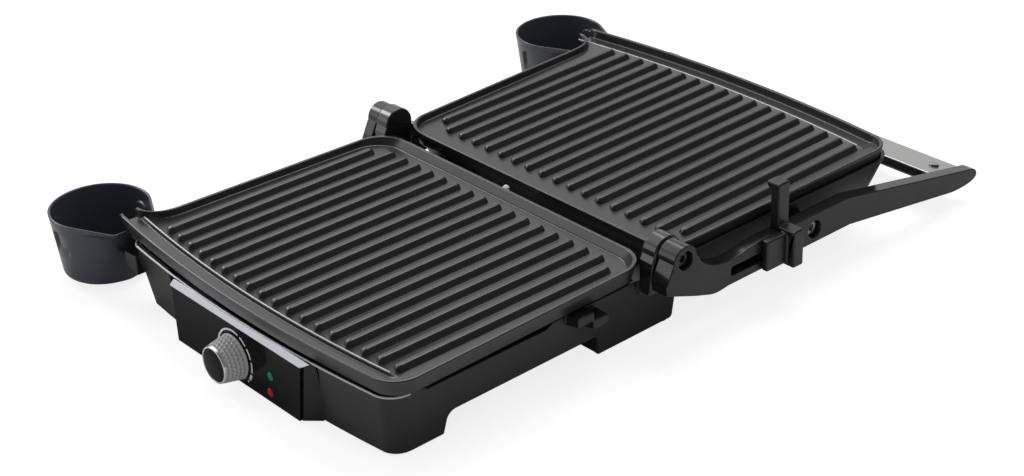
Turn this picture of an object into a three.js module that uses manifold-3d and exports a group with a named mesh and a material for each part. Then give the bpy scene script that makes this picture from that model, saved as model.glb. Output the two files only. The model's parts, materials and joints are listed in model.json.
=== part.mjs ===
// Electric table grill opened out flat: a base and a lid, each with a ribbed plate, joined by two arms.
import * as THREE from "three";
import { mergeVertices } from "three/addons/utils/BufferGeometryUtils.js";
import Module from "manifold-3d";

const wasm = await Module();
wasm.setup();

// Millimetres. X runs along the hinge line, Y from the control panel to the handle, Z up from the table.
// The middle line y = 0 lies between the two plates. A reach is a distance from that line.
// The lid is drawn level and is then lifted and tilted about its pivots, as it hangs in its arms.
const clearance = 0.3;
const overrun = 1;
const farBeyond = 40;
const arcSteps = 7;
const longArcSteps = 14;
const roundSides = 20;
const finestSides = 40;
const smallSides = 12;
const socketSides = 6;

const hingeY = -1;
const hingeHeight = 70;
const pivotY = 131;
const pivotHeight = 42;
const lidLift = 2.8;
const lidTiltDegrees = 1.1;

const plateFloor = 61;
const plateRimTop = 66;
const plateUnderside = 56;
const plateSkirtBottom = 54;
const plateWall = 2.6;
const skirtDraft = 2.8;
const plateHalfAtHinge = 142;
const plateHalfAtFree = 146.5;
const plateReach = 239;
const edgeBowRadius = 1130;
const lowerHingeReach = 10;
const upperHingeReach = 5;
const hingeCornerRadius = 24;
const freeCornerRadius = 20;
const spoutTipX = -165;
const spoutMouth = 27.5;
const spoutSideReach = plateReach - spoutMouth;
const spoutCurveReach = 186;
const pastSpout = 3;
const gutterInnerReach = 223.5;
const gutterFloor = 58.6;
const hollowMargin = 7;

const ribCount = 18;
const ribPitch = 14.8;
const ribTop = 65;
const ribFootWidth = 9;
const ribCrestWidth = 4.6;
const ribHingeReach = 25.4;
const outerRibHingeReach = 34;
const ribFreeReach = 219.7;
const ribEndSlope = 1.6;

const bossRadius = 6;
const bossBottom = 46.4;
const bossX = 112;
const bossHingeReach = 60;
const bossFreeReach = 176;
const screwShaftRadius = 1.9;
const screwHoleRadius = 2.2;
const screwHeadRadius = 3.8;
const screwHeadHeight = 2.4;
const screwBite = 7;

const elementRadius = 3.6;
const elementHalfWidth = 92;
const elementHingeReach = 46;
const elementFreeReach = 196;
const elementCornerRadius = 32;
const elementGapHalf = 22;
const elementTailLength = 6;
const elementSteps = 64;
const shieldThickness = 1;
const shieldMargin = 17;
const terminalWindowHalfWidth = 40;
const terminalWindowFrom = 38;
const terminalWindowTo = 55;
const bracketThickness = 4;
const bracketHalfWidth = 9;
const shelfReach = 30;

const tubTop = 49;
const tubBottom = 1.5;
const tubWall = 2.8;
const plateRearOverhang = 8.3;
const plateFrontOverhang = 10.6;
const tubHalfAtRear = plateHalfAtHinge - plateRearOverhang;
const tubHalfAtFront = plateHalfAtFree - plateFrontOverhang;
const plateOverhang = 3.9;
const tubReach = plateReach - plateOverhang;
const tubBowX = -15;
const tubRearY = 29;
const tubDraft = 7.4;
const tubCornerRadius = 17;
const tubRearCornerRadius = 8;
const tubSpoutX = -154;
const tubSpoutRadius = 11;
const tubSpoutStraight = 6;
const tubSpoutCurveDrop = 13;
const lipDipDepth = 3.4;
const lipDipFrom = 90;
const lipDipTo = 203;
const lipDipSlope = 7;
const rearShelfTop = 30;
const plateWellRearY = -14;
const earInnerX = 118;
const earRearY = 9;
const earPocketX = 127;
const earWall = 2.6;
const padX = 134.5;
const padFrontY = -15;
const padBottom = 38;
const notchTop = 18;
const notchFromReach = 45.5;
const notchToReach = 178;
const notchLean = 2;
const notchRound = 5;
const rearNotchHalfWidth = 84;
const rearNotchTop = 5;
const legBlockTop = 18.2;
const legInnerX = 108.6;
const legSpoutInnerX = 125;
const footX = 117;
const footSpoutX = -137;
const footFrontReach = 199;
const footRearReach = -19;

const knobX = -16.5;
const podRightX = 59;
const podLeftX = -88.5;
const podNarrowing = 6;
const podLeftNarrowing = 1;
const podSideSlant = 9;
const podFaceSetback = 0.7;
const podFaceReach = tubReach - podFaceSetback;
const podDepth = 18.4;
const podRootReach = podFaceReach - podDepth;
const podGroove = 1.6;
const podBottom = 0.5;
const podTop = 43.6;
const podWall = 2.6;
const panelThickness = 2.6;
const trimThickness = 1.4;
const trimRise = 4;
const trimRun = 4;

const knobHeight = 20;
const knobBackRadius = 16.4;
const knobFrontRadius = 13.2;
const knobLength = 17;
const knobWall = 2.4;
const knobCapThickness = 1.8;
const knobCapRadius = 11.8;
const knobHubRadius = 5.6;
const shaftRadius = 3;
const shaftHoleRadius = 3.5;
const shaftInKnob = 11;
const thermostatHalfWidth = 17;
const thermostatHalfHeight = 11;
const thermostatDepth = 14;
const thermostatCollarRadius = 4.8;
const thermostatCollarLength = 2;
const readyLamp = [23.4, 22];
const powerLamp = [21.6, 9];
const lampRadius = 2.6;
const lampDome = 0.9;
const lampFlangeRadius = 3.6;
const lampFlangeThickness = 1;
const boardThickness = 1.6;
const boardHalfWidth = 9;
const boardLow = 4.6;
const boardHigh = 29;
const boardGap = 1.5;

const footRadius = 7.5;
const footHeight = 5;
const coverThickness = 2.4;
const coverGap = 0.5;
const coverScrewOffset = 14;
const coverScrewSeat = 5;
const ventCount = 7;
const ventPitch = 22;
const ventWidth = 5;
const ventFrom = 80;
const ventTo = 150;
const terminalHalfLength = 22;
const terminalDepth = 14;
const terminalHeight = 15;
const terminalReach = 42;
const terminalPoleCount = 3;
const terminalPoleRadius = 2.6;
const terminalPolePitch = 14.2;
const glandX = 58;
const glandHeight = 15.5;
const glandRadius = 6.5;
const glandFlangeRadius = 9;
const glandFlangeThickness = 2;
const glandBoreRadius = 3.6;
const glandInnerLength = 6;
const glandOuterLength = 3;
const glandTipRadius = 5.2;

const studX = -8;
const studY = -6.5;
const studRadius = 2.4;
const studTop = 65.5;
const studBottom = 40;
const studFlangeRadius = 4.2;
const studShelfTop = 44;
const studShelfThickness = 3;
const studShelfHalfWidth = 9;
const studShelfRearY = 0;

const bracketInnerX = 134.8;
const seamX = 147.8;
const bracketRadius = 12;
const postFrontY = -15.5;
const postBottom = 38;
const postFoot = 7;
const postChamfer = 6;
const postRearY = 6;
const postHeelY = 9.5;
const postHeelHeight = 47;
const bracketScrewY = -4;
const bracketScrewHeight = 42;
const bracketScrewEnd = 143;

const armInnerX = 149.5;
const armOuterX = 160;
const armKnuckleRadius = 10.6;
const armRootRightX = 164;
const armRootFromY = 10;
const armRootToY = 45;
const armHeelTop = [-12.2, 65];
const armHeelHollow = [-13.2, 62];
const armHeelShoulder = [-16.5, 60];
const armHeelBulge = [-24, 54];
const armHeelFoot = [-18.4, 49.6];
const armUnderFrom = [23.7, 33.8];
const armUnderCorner = [30, 31.5];
const armValleyFar = [64, 52.8];
const armValleyBottom = [45, 48.4];
const armValleyNear = [29.8, 54.2];
const armThroat = [15.2, 59.5];
const armThroatTop = [11.3, 69.2];
const armTop = 54;
const armBottom = 31.5;
const armLevelY = 78;
const armUnderY = 36;
const armBendY = 166;
const armTipY = 315;
const armTipTop = 25;
const armTipBottom = 13.5;
const armTipRound = 7;
const armTipTaper = 28;
const armTipSag = 1;
const armUnderBend = 3;
const sunkHeadRadius = 6.5;
const sunkHeadDepth = 3.6;
const hingePinRadius = 4;
const hingePinHoleRadius = 4.4;
const hingePinHeadRadius = 5.6;
const hingePinHeadThickness = 2.6;
const hingePinInnerX = 138;
const pinSocketRadius = 2.6;
const pinSocketDepth = 1.5;
const pivotPinRadius = 3.4;
const pivotHoleRadius = 3.8;
const pivotHeadRadius = 5.2;
const pivotPinInnerX = 137;

const slotFromY = 47;
const slotToY = 105;
const slotLow = 38;
const slotHigh = 44.5;
const slotStepX = 153;
const slotStepMargin = 3;

const clipFrontY = 76;
const clipGripY = 96;
const clipRearY = 106;
const clipPlateX = 165.8;
const clipGripX = 172;
const clipPlateTop = 54.5;
const clipBottom = 29;
const clipShoulderTop = 57;
const clipPostInnerX = 150;
const clipPostOuterX = 158;
const clipPostFrontY = 95;
const clipHookTop = 88.5;
const clipHookThickness = 4;
const clipHookReach = 3.6;
const clipSlope = 2;
const clipTongueLow = 38.6;
const clipTongueHigh = 43.9;
const clipTongueFrontY = 79;
const clipTongueRearY = 103;

const ledgeOuterX = 146;
const ledgeFrontY = -80.3;
const ledgeStepY = -67;
const ledgeRearY = -53.5;
const ledgeFrontTop = 50.5;
const ledgeRearTop = 44.5;
const ledgeRootX = 130.6;
const ledgeDepth = 6.5;
const ledgeGussetDrop = 3;

const handleSideGap = 0.4;
const handleHalfWidth = armInnerX - handleSideGap;
const handleStartY = 271;
const handleTopLength = 38;
const handleDepth = 13;
const handleUnderLength = 24;
const handleSheet = 1.3;
const handleSlopeDegrees = 11.5;
const handleCornerSteps = 3;
const handleBend = 3;
const tongueInnerX = 128;
const tongueFront = 7;
const tongueRear = 33;
const tongueGap = 0.4;
const handleScrewX = 139;
const handleScrewAlong = 19;
const handleScrewLength = 9;
const handleScrewHeadRadius = 3.8;
const handleScrewHeadHeight = 1.6;

const lidLipTop = 57.5;
const lidBottom = 33;
const lidLipGrowth = 1.4;
const lidDraft = 7.6;
const lidWall = 2.4;
const lidHingeReach = 12;
const lidBossRadius = 8;
const lidBossInnerX = 134;
const lidBossHoleRadius = 3.7;
const plateRoomGap = 0.6;
const lidSpoutNotchFloor = 52.5;
const lidSpoutNotchFrom = 202;
const lidSpoutNotchTo = 234;

const cupCentreX = -209;
const cupRadius = 37;
const cupEndX = -160.8;
const cupEndHalfWidth = 17.5;
const cupHeight = 47;
const cupBottomRadius = 31.5;
const cupFlareDrop = 12;
const cupFlareEndHalf = 3;
const cupFlareStand = 0.6;
const cupWall = 2;
const cupFloor = 2.4;
const cupRimLower = 53.5;
const cupRimUpper = 55;
const cupLowerReach = 218;
const cupUpperReach = 229;
const hookDrop = 19;
const hookThickness = 2.6;
const hookHalfWidth = 9;
const hookLength = 6.6;
const pocketGap = 0.4;
const hangerDrop = 13.5;
const hangerInnerX = -146;
const hangerHalfWidth = 11.5;
const hangerFoot = 3;
const hangerFloor = 3.4;

const colours = {
  plate: { color: 0x3a3a3c, roughness: 0.5, metalness: 0.2 },
  plastic: { color: 0x232325, roughness: 0.42, metalness: 0 },
  arm: { color: 0x343437, roughness: 0.5, metalness: 0 },
  gloss: { color: 0x0c0c0e, roughness: 0.12, metalness: 0 },
  trim: { color: 0xdcdce4, roughness: 0.3, metalness: 0.9 },
  knob: { color: 0xb9b9b6, roughness: 0.5, metalness: 0.4 },
  steel: { color: 0xc2bfba, roughness: 0.35, metalness: 1 },
  sheet: { color: 0xa8a9a8, roughness: 0.45, metalness: 1 },
  rubber: { color: 0x151515, roughness: 0.9, metalness: 0 },
  green: { color: 0x0b7a4b, roughness: 0.2, metalness: 0 },
  red: { color: 0xc01a1a, roughness: 0.2, metalness: 0 },
  board: { color: 0x2c5a34, roughness: 0.6, metalness: 0 },
  ceramic: { color: 0xe9e6cf, roughness: 0.5, metalness: 0 },
  cup: { color: 0x26272b, roughness: 0.4, metalness: 0 },
  element: { color: 0x6d6a66, roughness: 0.5, metalness: 0.8 },
};

const group = new THREE.Group();

function add(name, look, geometry) {
  const mesh = new THREE.Mesh(join(geometry), new THREE.MeshStandardMaterial(colours[look]));
  mesh.name = name;
  group.add(mesh);
}

function toManifold(geometry) {
  const bare = geometry.clone();
  bare.deleteAttribute("normal");
  bare.deleteAttribute("uv");
  const merged = mergeVertices(bare);
  const corners = merged.index.array;
  const triangles = [];
  for (let start = 0; start < corners.length; start += 3) {
    const [a, b, c] = corners.slice(start, start + 3);
    if (a !== b && b !== c && c !== a) {
      triangles.push(a, b, c);
    }
  }
  return new wasm.Manifold(new wasm.Mesh({
    numProp: 3,
    vertProperties: new Float32Array(merged.attributes.position.array),
    triVerts: new Uint32Array(triangles),
  }));
}

function toGeometry(manifold) {
  const mesh = manifold.getMesh();
  const geometry = new THREE.BufferGeometry();
  geometry.setAttribute("position", new THREE.BufferAttribute(new Float32Array(mesh.vertProperties), 3));
  geometry.setIndex(new THREE.BufferAttribute(new Uint32Array(mesh.triVerts), 1));
  return geometry;
}

function join(first, ...others) {
  return toGeometry(others.reduce((sum, next) => sum.add(toManifold(next)), toManifold(first)));
}

function cut(first, ...tools) {
  return toGeometry(tools.reduce((rest, next) => rest.subtract(toManifold(next)), toManifold(first)));
}

function overlapOf(first, second) {
  return toGeometry(toManifold(first).intersect(toManifold(second)));
}

// A box from its lowest to its highest corner.
function block(low, high) {
  const size = high.map((value, axis) => value - low[axis]);
  const geometry = new THREE.BoxGeometry(...size);
  return geometry.translate(...low.map((value, axis) => value + size[axis] / 2));
}

function arc(centreX, centreY, radius, fromDegrees, toDegrees, steps = arcSteps) {
  const points = [];
  for (let step = 0; step <= steps; step += 1) {
    const angle = THREE.MathUtils.degToRad(fromDegrees + ((toDegrees - fromDegrees) * step) / steps);
    points.push(new THREE.Vector2(centreX + radius * Math.cos(angle), centreY + radius * Math.sin(angle)));
  }
  return points;
}

function bend(from, control, to, steps = arcSteps) {
  return new THREE.QuadraticBezierCurve(
    new THREE.Vector2(...from), new THREE.Vector2(...control), new THREE.Vector2(...to),
  ).getPoints(steps);
}

function points(...pairs) {
  return pairs.map(([first, second]) => new THREE.Vector2(first, second));
}

// An outline in plan, pulled up from one height to another.
function prism(outline, low, high) {
  const shape = new THREE.Shape(outline);
  const geometry = new THREE.ExtrudeGeometry(shape, { depth: high - low, bevelEnabled: false });
  return geometry.translate(0, 0, low);
}

// An outline of (y, z) points, pulled along X.
function crosswise(outline, lowX, highX) {
  const turn = new THREE.Matrix4().set(0, 0, 1, 0, 1, 0, 0, 0, 0, 1, 0, 0, 0, 0, 0, 1);
  return prism(outline, lowX, highX).applyMatrix4(turn);
}

// An outline of (x, z) points, pulled along Y.
function lengthwise(outline, lowY, highY) {
  const turn = new THREE.Matrix4().set(1, 0, 0, 0, 0, 0, -1, 0, 0, 1, 0, 0, 0, 0, 0, 1);
  return prism(outline, -highY, -lowY).applyMatrix4(turn);
}

// A solid through plan outlines with equal numbers of points, one at each height from low to high.
function loft(outlines, heights) {
  const clockwise = THREE.ShapeUtils.isClockWise(outlines[0]);
  const rings = outlines.map((outline) => (clockwise ? [...outline].reverse() : outline));
  const count = rings[0].length;
  const positions = rings.flatMap((ring, level) => (
    ring.flatMap((point) => [point.x, point.y, heights[level]])
  ));
  const index = [];
  for (let level = 0; level + 1 < rings.length; level += 1) {
    for (let corner = 0; corner < count; corner += 1) {
      const next = (corner + 1) % count;
      const a = level * count + corner;
      const b = level * count + next;
      index.push(a, b, b + count, a, b + count, a + count);
    }
  }
  const lastStart = (rings.length - 1) * count;
  THREE.ShapeUtils.triangulateShape(rings[0], []).forEach(([a, b, c]) => index.push(a, c, b));
  THREE.ShapeUtils.triangulateShape(rings.at(-1), []).forEach(([a, b, c]) => {
    index.push(lastStart + a, lastStart + b, lastStart + c);
  });
  const geometry = new THREE.BufferGeometry();
  geometry.setAttribute("position", new THREE.Float32BufferAttribute(positions, 3));
  geometry.setIndex(index);
  return geometry;
}

// A turned solid: its profile is (radius, distance along the axis) and starts and ends on the axis.
function turned(profile, sides = roundSides) {
  return new THREE.LatheGeometry(points(...profile), sides);
}

function rodProfile(radius, low, high) {
  return [[0, low], [radius, low], [radius, high], [0, high]];
}

function uprightRod(x, y, radius, low, high, sides = roundSides) {
  return turned(rodProfile(radius, low, high), sides).rotateX(Math.PI / 2).translate(x, y, 0);
}

function crosswiseRod(y, z, radius, lowX, highX, sides = roundSides) {
  return turned(rodProfile(radius, lowX, highX), sides).rotateZ(-Math.PI / 2).translate(0, y, z);
}

// Turns (x, reach) points into plan points: side is -1 for the base and 1 for the lid.
function onSide(outline, side) {
  return outline.map((point) => new THREE.Vector2(point.x, point.y * side));
}

// The free edges of the plates and shells bow outward as one long arc.
function bowedReach(reach, x) {
  return reach - (x * x) / (2 * edgeBowRadius);
}

function bowedEdge(reach, fromX, toX, steps = arcSteps) {
  const edge = [];
  for (let step = 0; step <= steps; step += 1) {
    const x = fromX + ((toX - fromX) * step) / steps;
    edge.push(new THREE.Vector2(x, bowedReach(reach, x)));
  }
  return edge;
}

function roundedFreeCorner(halfWidth, reach, radius) {
  const cornerX = halfWidth - radius;
  const cornerReach = bowedReach(reach, cornerX) - radius;
  return arc(cornerX, cornerReach, radius, 0, 90);
}

// A plate outline without its spout, moved inward by a margin.
function plainOutline(hingeReach, margin) {
  const halfHinge = plateHalfAtHinge - margin;
  const halfFree = plateHalfAtFree - margin;
  const reach = plateReach - margin;
  const hingeRadius = hingeCornerRadius - margin / 2;
  const freeRadius = freeCornerRadius - margin / 2;
  const nearReach = hingeReach + margin + hingeRadius;
  const right = roundedFreeCorner(halfFree, reach, freeRadius);
  const left = right.map((point) => new THREE.Vector2(-point.x, point.y)).reverse();
  return [
    ...arc(halfHinge - hingeRadius, nearReach, hingeRadius, -90, 0),
    ...right,
    ...bowedEdge(reach, halfFree - freeRadius, freeRadius - halfFree).slice(1, -1),
    ...left,
    ...arc(hingeRadius - halfHinge, nearReach, hingeRadius, 180, 270),
  ];
}

// A plate outline with the pouring spout at its free left corner.
function spoutedOutline(hingeReach, margin, tipX) {
  const halfHinge = plateHalfAtHinge - margin;
  const halfFree = plateHalfAtFree - margin;
  const reach = plateReach - margin;
  const hingeRadius = hingeCornerRadius - margin / 2;
  const freeRadius = freeCornerRadius - margin / 2;
  const nearReach = hingeReach + margin + hingeRadius;
  const sideReach = spoutSideReach + margin;
  return [
    ...arc(halfHinge - hingeRadius, nearReach, hingeRadius, -90, 0),
    ...roundedFreeCorner(halfFree, reach, freeRadius),
    ...bowedEdge(reach, halfFree - freeRadius, tipX).slice(1),
    ...bend([tipX, sideReach], [-halfFree, sideReach - margin], [-halfFree, spoutCurveReach]),
    ...arc(hingeRadius - halfHinge, nearReach, hingeRadius, 180, 270),
  ];
}

function ribsAlong(side) {
  const ribs = [];
  const halfFoot = ribFootWidth / 2;
  const halfCrest = ribCrestWidth / 2;
  for (let index = 0; index < ribCount; index += 1) {
    const x = (index - (ribCount - 1) / 2) * ribPitch;
    const atEdge = index === 0 || index === ribCount - 1;
    const from = atEdge ? outerRibHingeReach : ribHingeReach;
    const to = bowedReach(ribFreeReach, x);
    const foot = points([x - halfFoot, from], [x + halfFoot, from], [x + halfFoot, to], [x - halfFoot, to]);
    const crestFrom = from + ribEndSlope;
    const crestTo = to - ribEndSlope;
    const crest = points(
      [x - halfCrest, crestFrom], [x + halfCrest, crestFrom],
      [x + halfCrest, crestTo], [x - halfCrest, crestTo],
    );
    ribs.push(loft([onSide(foot, side), onSide(crest, side)], [plateFloor - overrun, ribTop]));
  }
  return ribs;
}

function bossPlaces(side) {
  const places = [];
  for (const x of [-bossX, bossX]) {
    for (const reach of [bossHingeReach, bossFreeReach]) {
      places.push([x, side * reach]);
    }
  }
  return places;
}

// The cast cooking plate: skirt, rim, floor, gutter with spout, ribs above and screw bosses below.
function cookingPlate(side, hingeReach) {
  const outer = loft(
    [
      onSide(spoutedOutline(hingeReach, skirtDraft, spoutTipX + skirtDraft / 2), side),
      onSide(spoutedOutline(hingeReach, 0, spoutTipX), side),
    ],
    [plateSkirtBottom, plateRimTop],
  );
  const pan = prism(onSide(plainOutline(hingeReach, plateWall), side), plateFloor, plateRimTop + overrun);
  const gutter = overlapOf(
    prism(
      onSide(spoutedOutline(hingeReach, plateWall, spoutTipX - pastSpout), side),
      gutterFloor, plateRimTop + overrun,
    ),
    prism(onSide(gutterZone(), side), gutterFloor, plateRimTop + overrun),
  );
  const hollow = prism(
    onSide(plainOutline(hingeReach, hollowMargin), side), plateSkirtBottom - overrun, plateUnderside,
  );
  const bosses = bossPlaces(side).map(([x, y]) => (
    uprightRod(x, y, bossRadius, bossBottom, plateUnderside + overrun, smallSides)
  ));
  const holes = bossPlaces(side).map(([x, y]) => (
    uprightRod(x, y, screwHoleRadius, bossBottom - overrun, bossBottom + screwBite + overrun, smallSides)
  ));
  return cut(join(cut(outer, pan, gutter, hollow), ...ribsAlong(side), ...bosses), ...holes);
}

// The plan of the fat gutter: a band along the bowed free edge.
function gutterZone() {
  const farEdge = plateHalfAtFree - plateWall - overrun;
  const beyondSpout = spoutTipX - pastSpout - overrun;
  const inner = bowedEdge(gutterInnerReach, farEdge - freeCornerRadius / 2, beyondSpout);
  const outer = bowedEdge(plateReach + overrun, beyondSpout, farEdge);
  return [...inner, ...outer];
}

// The heating rod: an open loop under the plate whose two ends stop near the hinge side.
function heatingElement(side) {
  const height = plateUnderside - clearance - elementRadius;
  const path = new THREE.CurvePath();
  const corner = elementCornerRadius;
  const half = elementHalfWidth;
  const near = elementHingeReach;
  const far = elementFreeReach;
  const place = (x, reach) => new THREE.Vector3(x, side * reach, height);
  const line = (from, to) => path.add(new THREE.LineCurve3(place(...from), place(...to)));
  const turn = (from, control, to) => {
    path.add(new THREE.QuadraticBezierCurve3(place(...from), place(...control), place(...to)));
  };
  line([-elementGapHalf, near], [corner - half, near]);
  turn([corner - half, near], [-half, near], [-half, near + corner]);
  line([-half, near + corner], [-half, far - corner]);
  turn([-half, far - corner], [-half, far], [corner - half, far]);
  line([corner - half, far], [half - corner, far]);
  turn([half - corner, far], [half, far], [half, far - corner]);
  line([half, far - corner], [half, near + corner]);
  turn([half, near + corner], [half, near], [half - corner, near]);
  line([half - corner, near], [elementGapHalf, near]);
  const round = new THREE.Shape(arc(0, 0, elementRadius, 0, 360, smallSides).slice(0, -1));
  const loop = new THREE.ExtrudeGeometry(round, { steps: elementSteps, extrudePath: path });
  const tails = [-elementGapHalf, elementGapHalf].map((x) => uprightRod(
    x, side * near, elementRadius / 2, height - elementRadius - elementTailLength, height, smallSides,
  ));
  return join(loop, ...tails);
}

// The thin steel sheet that keeps the element's heat off the shell, with a window for the element's tails.
function heatShield(side, hingeReach) {
  const top = bossBottom - clearance;
  const low = top - shieldThickness;
  const sheet = prism(onSide(plainOutline(hingeReach, shieldMargin), side), low, top);
  const window = block(
    [-terminalWindowHalfWidth, Math.min(side * terminalWindowFrom, side * terminalWindowTo), low - overrun],
    [terminalWindowHalfWidth, Math.max(side * terminalWindowFrom, side * terminalWindowTo), top + overrun],
  );
  const holes = bossPlaces(side).map(([x, y]) => (
    uprightRod(x, y, screwHoleRadius, low - overrun, top + overrun, smallSides)
  ));
  return cut(sheet, window, ...holes);
}

const bracketTop = bossBottom - clearance - shieldThickness - clearance;
const plateScrewHeadTop = bracketTop - bracketThickness - clearance / 2;

// The shelves inside a shell that the plate screws pass through.
function plateShelves(side) {
  return bossPlaces(side).map(([x, y]) => {
    const innerX = x - Math.sign(x) * bracketHalfWidth;
    const outerX = x + Math.sign(x) * shelfReach;
    return block(
      [Math.min(innerX, outerX), y - bracketHalfWidth, bracketTop - bracketThickness],
      [Math.max(innerX, outerX), y + bracketHalfWidth, bracketTop],
    );
  });
}

function plateShelfHoles(side) {
  return bossPlaces(side).map(([x, y]) => uprightRod(
    x, y, screwHoleRadius, bracketTop - bracketThickness - overrun, bracketTop + overrun, smallSides,
  ));
}

function plateScrew(x, y) {
  const headTop = plateScrewHeadTop;
  const head = uprightRod(x, y, screwHeadRadius, headTop - screwHeadHeight, headTop, smallSides);
  const shaft = uprightRod(x, y, screwShaftRadius, headTop - overrun, bossBottom + screwBite, smallSides);
  return join(head, shaft);
}

// The plan of the base shell: bowed front, rounded corners and a shoulder under the spout.
function tubOutline(draft, wall) {
  const margin = draft + wall;
  const halfRear = tubHalfAtRear - margin;
  const halfFront = tubHalfAtFront - margin;
  const rearReach = wall - tubRearY;
  const corner = tubCornerRadius - margin / 2;
  const rearCorner = tubRearCornerRadius - wall;
  const spoutX = tubSpoutX + margin;
  const spoutCorner = tubSpoutRadius - margin / 3;
  const reachAt = (x) => tubReach - margin - ((x - tubBowX) * (x - tubBowX)) / (2 * edgeBowRadius);
  const rightX = halfFront - corner;
  const leftX = spoutX + spoutCorner;
  const curveStart = reachAt(leftX) - spoutCorner - tubSpoutStraight;
  const curveEnd = curveStart - 2 * tubSpoutCurveDrop;
  const front = [];
  for (let step = 1; step < longArcSteps; step += 1) {
    const x = rightX + ((leftX - rightX) * step) / (longArcSteps);
    front.push(new THREE.Vector2(x, reachAt(x)));
  }
  const outline = [
    ...arc(halfRear - rearCorner, rearReach + rearCorner, rearCorner, -90, 0),
    ...arc(rightX, reachAt(rightX) - corner, corner, 0, 90),
    ...front,
    ...arc(leftX, reachAt(leftX) - spoutCorner, spoutCorner, 90, 180),
    ...bend([spoutX, curveStart], [spoutX, curveStart - tubSpoutCurveDrop], [-halfFront, curveEnd]),
    ...arc(rearCorner - halfRear, rearReach + rearCorner, rearCorner, 180, 270),
  ];
  return onSide(outline, -1);
}

// The plan of the panel box: a flat front between two sides that slant back into the shell.
function podOutline(reach, narrowed, wall) {
  const left = podLeftX + narrowed * podLeftNarrowing + wall;
  const right = podRightX - narrowed * podNarrowing - wall;
  const slantStart = reach - podSideSlant;
  return points(
    [left - podSideSlant, -podRootReach], [left - podSideSlant, -slantStart], [left, -reach],
    [right, -reach], [right + podSideSlant, -slantStart], [right + podSideSlant, -podRootReach],
  );
}

const trimHighReach = podFaceReach + panelThickness - trimRun;

// The box that carries the panel, with a sloping top edge for the trim strip.
function podSolid() {
  return loft(
    [podOutline(podFaceReach, 1, 0), podOutline(podFaceReach, 0, 0), podOutline(trimHighReach, 0, 0)],
    [podBottom, podTop, podTop + trimRise],
  );
}

// The room that the panel box takes in the shell's front wall, with a groove left down each side of the box.
function podRoom() {
  const outline = (narrowed) => {
    const left = podLeftX + narrowed * podLeftNarrowing - podSideSlant - podGroove;
    const right = podRightX - narrowed * podNarrowing + podSideSlant + podGroove;
    const back = podSideSlant - podFaceReach;
    return points([left, back], [left, -farFront], [right, -farFront], [right, back]);
  };
  return loft([outline(1), outline(0), outline(0)], [tubBottom - overrun, podTop, tubTop + overrun]);
}

const farOut = tubHalfAtFront + farBeyond;
const farFront = tubReach + farBeyond;

function footPlaces() {
  return [
    [footX, -footFrontReach], [footSpoutX, -footFrontReach],
    [footX, -footRearReach], [-footX, -footRearReach],
  ];
}

const cupFrontY = -cupLowerReach;

// The slot that a cup's flat tongue slides into from the side.
function tonguePocket(y, rim) {
  const top = rim - hookDrop;
  return block(
    [cupEndX - overrun, y - hookHalfWidth - pocketGap, top - hookThickness - clearance],
    [cupEndX + hookLength + pocketGap, y + hookHalfWidth + pocketGap, top + clearance],
  );
}

// The block on the base's spout corner that holds the front cup's slot.
function cupHanger() {
  const outerX = cupEndX + clearance;
  const top = cupRimLower - hangerDrop;
  const low = cupRimLower - hookDrop - hookThickness - hangerFloor;
  return lengthwise(
    points(
      [outerX, low + hangerFoot], [outerX, top], [hangerInnerX, top], [hangerInnerX, low - hangerFoot],
      [outerX + hangerFoot, low],
    ),
    cupFrontY - hangerHalfWidth, cupFrontY + hangerHalfWidth,
  );
}

// One step of the ledge: a shelf that stands out from the right wall, with a sloping gusset below it.
function ledgeStep(frontY, rearY, top) {
  return lengthwise(
    points(
      [ledgeRootX, top - ledgeDepth - ledgeGussetDrop], [ledgeOuterX, top - ledgeDepth], [ledgeOuterX, top],
      [ledgeRootX, top],
    ),
    frontY, rearY,
  );
}

// The two-step ledge on the right wall that the clip's foot comes down on.
function clipLedge() {
  return join(
    ledgeStep(ledgeFrontY, ledgeStepY + overrun, ledgeFrontTop),
    ledgeStep(ledgeStepY, ledgeRearY, ledgeRearTop),
  );
}

// A box that lies outward of a given |x| on one hand, cut to a shell's outer shape later.
function outwardBlock(hand, innerX, outerX, lowY, highY, low, high) {
  return block(
    [Math.min(hand * innerX, hand * outerX), lowY, low],
    [Math.max(hand * innerX, hand * outerX), highY, high],
  );
}

// The rear of the base: a low shelf behind the plate, a riser in front of it and an ear at each corner.
function rearOfBase(outer) {
  const low = rearShelfTop - tubWall;
  const shelfBlock = block([-farOut, plateWellRearY - tubWall, low], [farOut, farOut, rearShelfTop]);
  const shelf = overlapOf(outer, shelfBlock);
  const riser = block(
    [-earInnerX - earWall, plateWellRearY - tubWall, low], [earInnerX + earWall, plateWellRearY, tubTop],
  );
  const ears = [-1, 1].map((hand) => {
    const earBlock = outwardBlock(hand, earInnerX, farOut, padFrontY - earWall, earRearY, low, tubTop);
    const ear = overlapOf(outer, earBlock);
    const pad = outwardBlock(hand, earPocketX, padX, padFrontY, earRearY - overrun, padBottom, tubTop);
    const pocketTop = tubTop - earWall + clearance;
    const pocket = outwardBlock(
      hand, earInnerX + earWall, earPocketX, padFrontY, earRearY - earWall, low - overrun, pocketTop,
    );
    return cut(join(ear, pad), pocket);
  });
  return [shelf, riser, ...ears];
}

// The four legs: blocks inside the shell's corners that carry the feet and the bottom cover.
function legBlocks(outer) {
  return [
    outwardBlock(1, legInnerX, farOut, -farFront, -notchToReach, tubBottom, legBlockTop),
    outwardBlock(-1, legSpoutInnerX, farOut, -farFront, -notchToReach, tubBottom, legBlockTop),
    outwardBlock(1, legInnerX, farOut, -notchFromReach, farOut, tubBottom, legBlockTop),
    outwardBlock(-1, legInnerX, farOut, -notchFromReach, farOut, tubBottom, legBlockTop),
  ].map((leg) => overlapOf(outer, leg));
}

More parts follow.
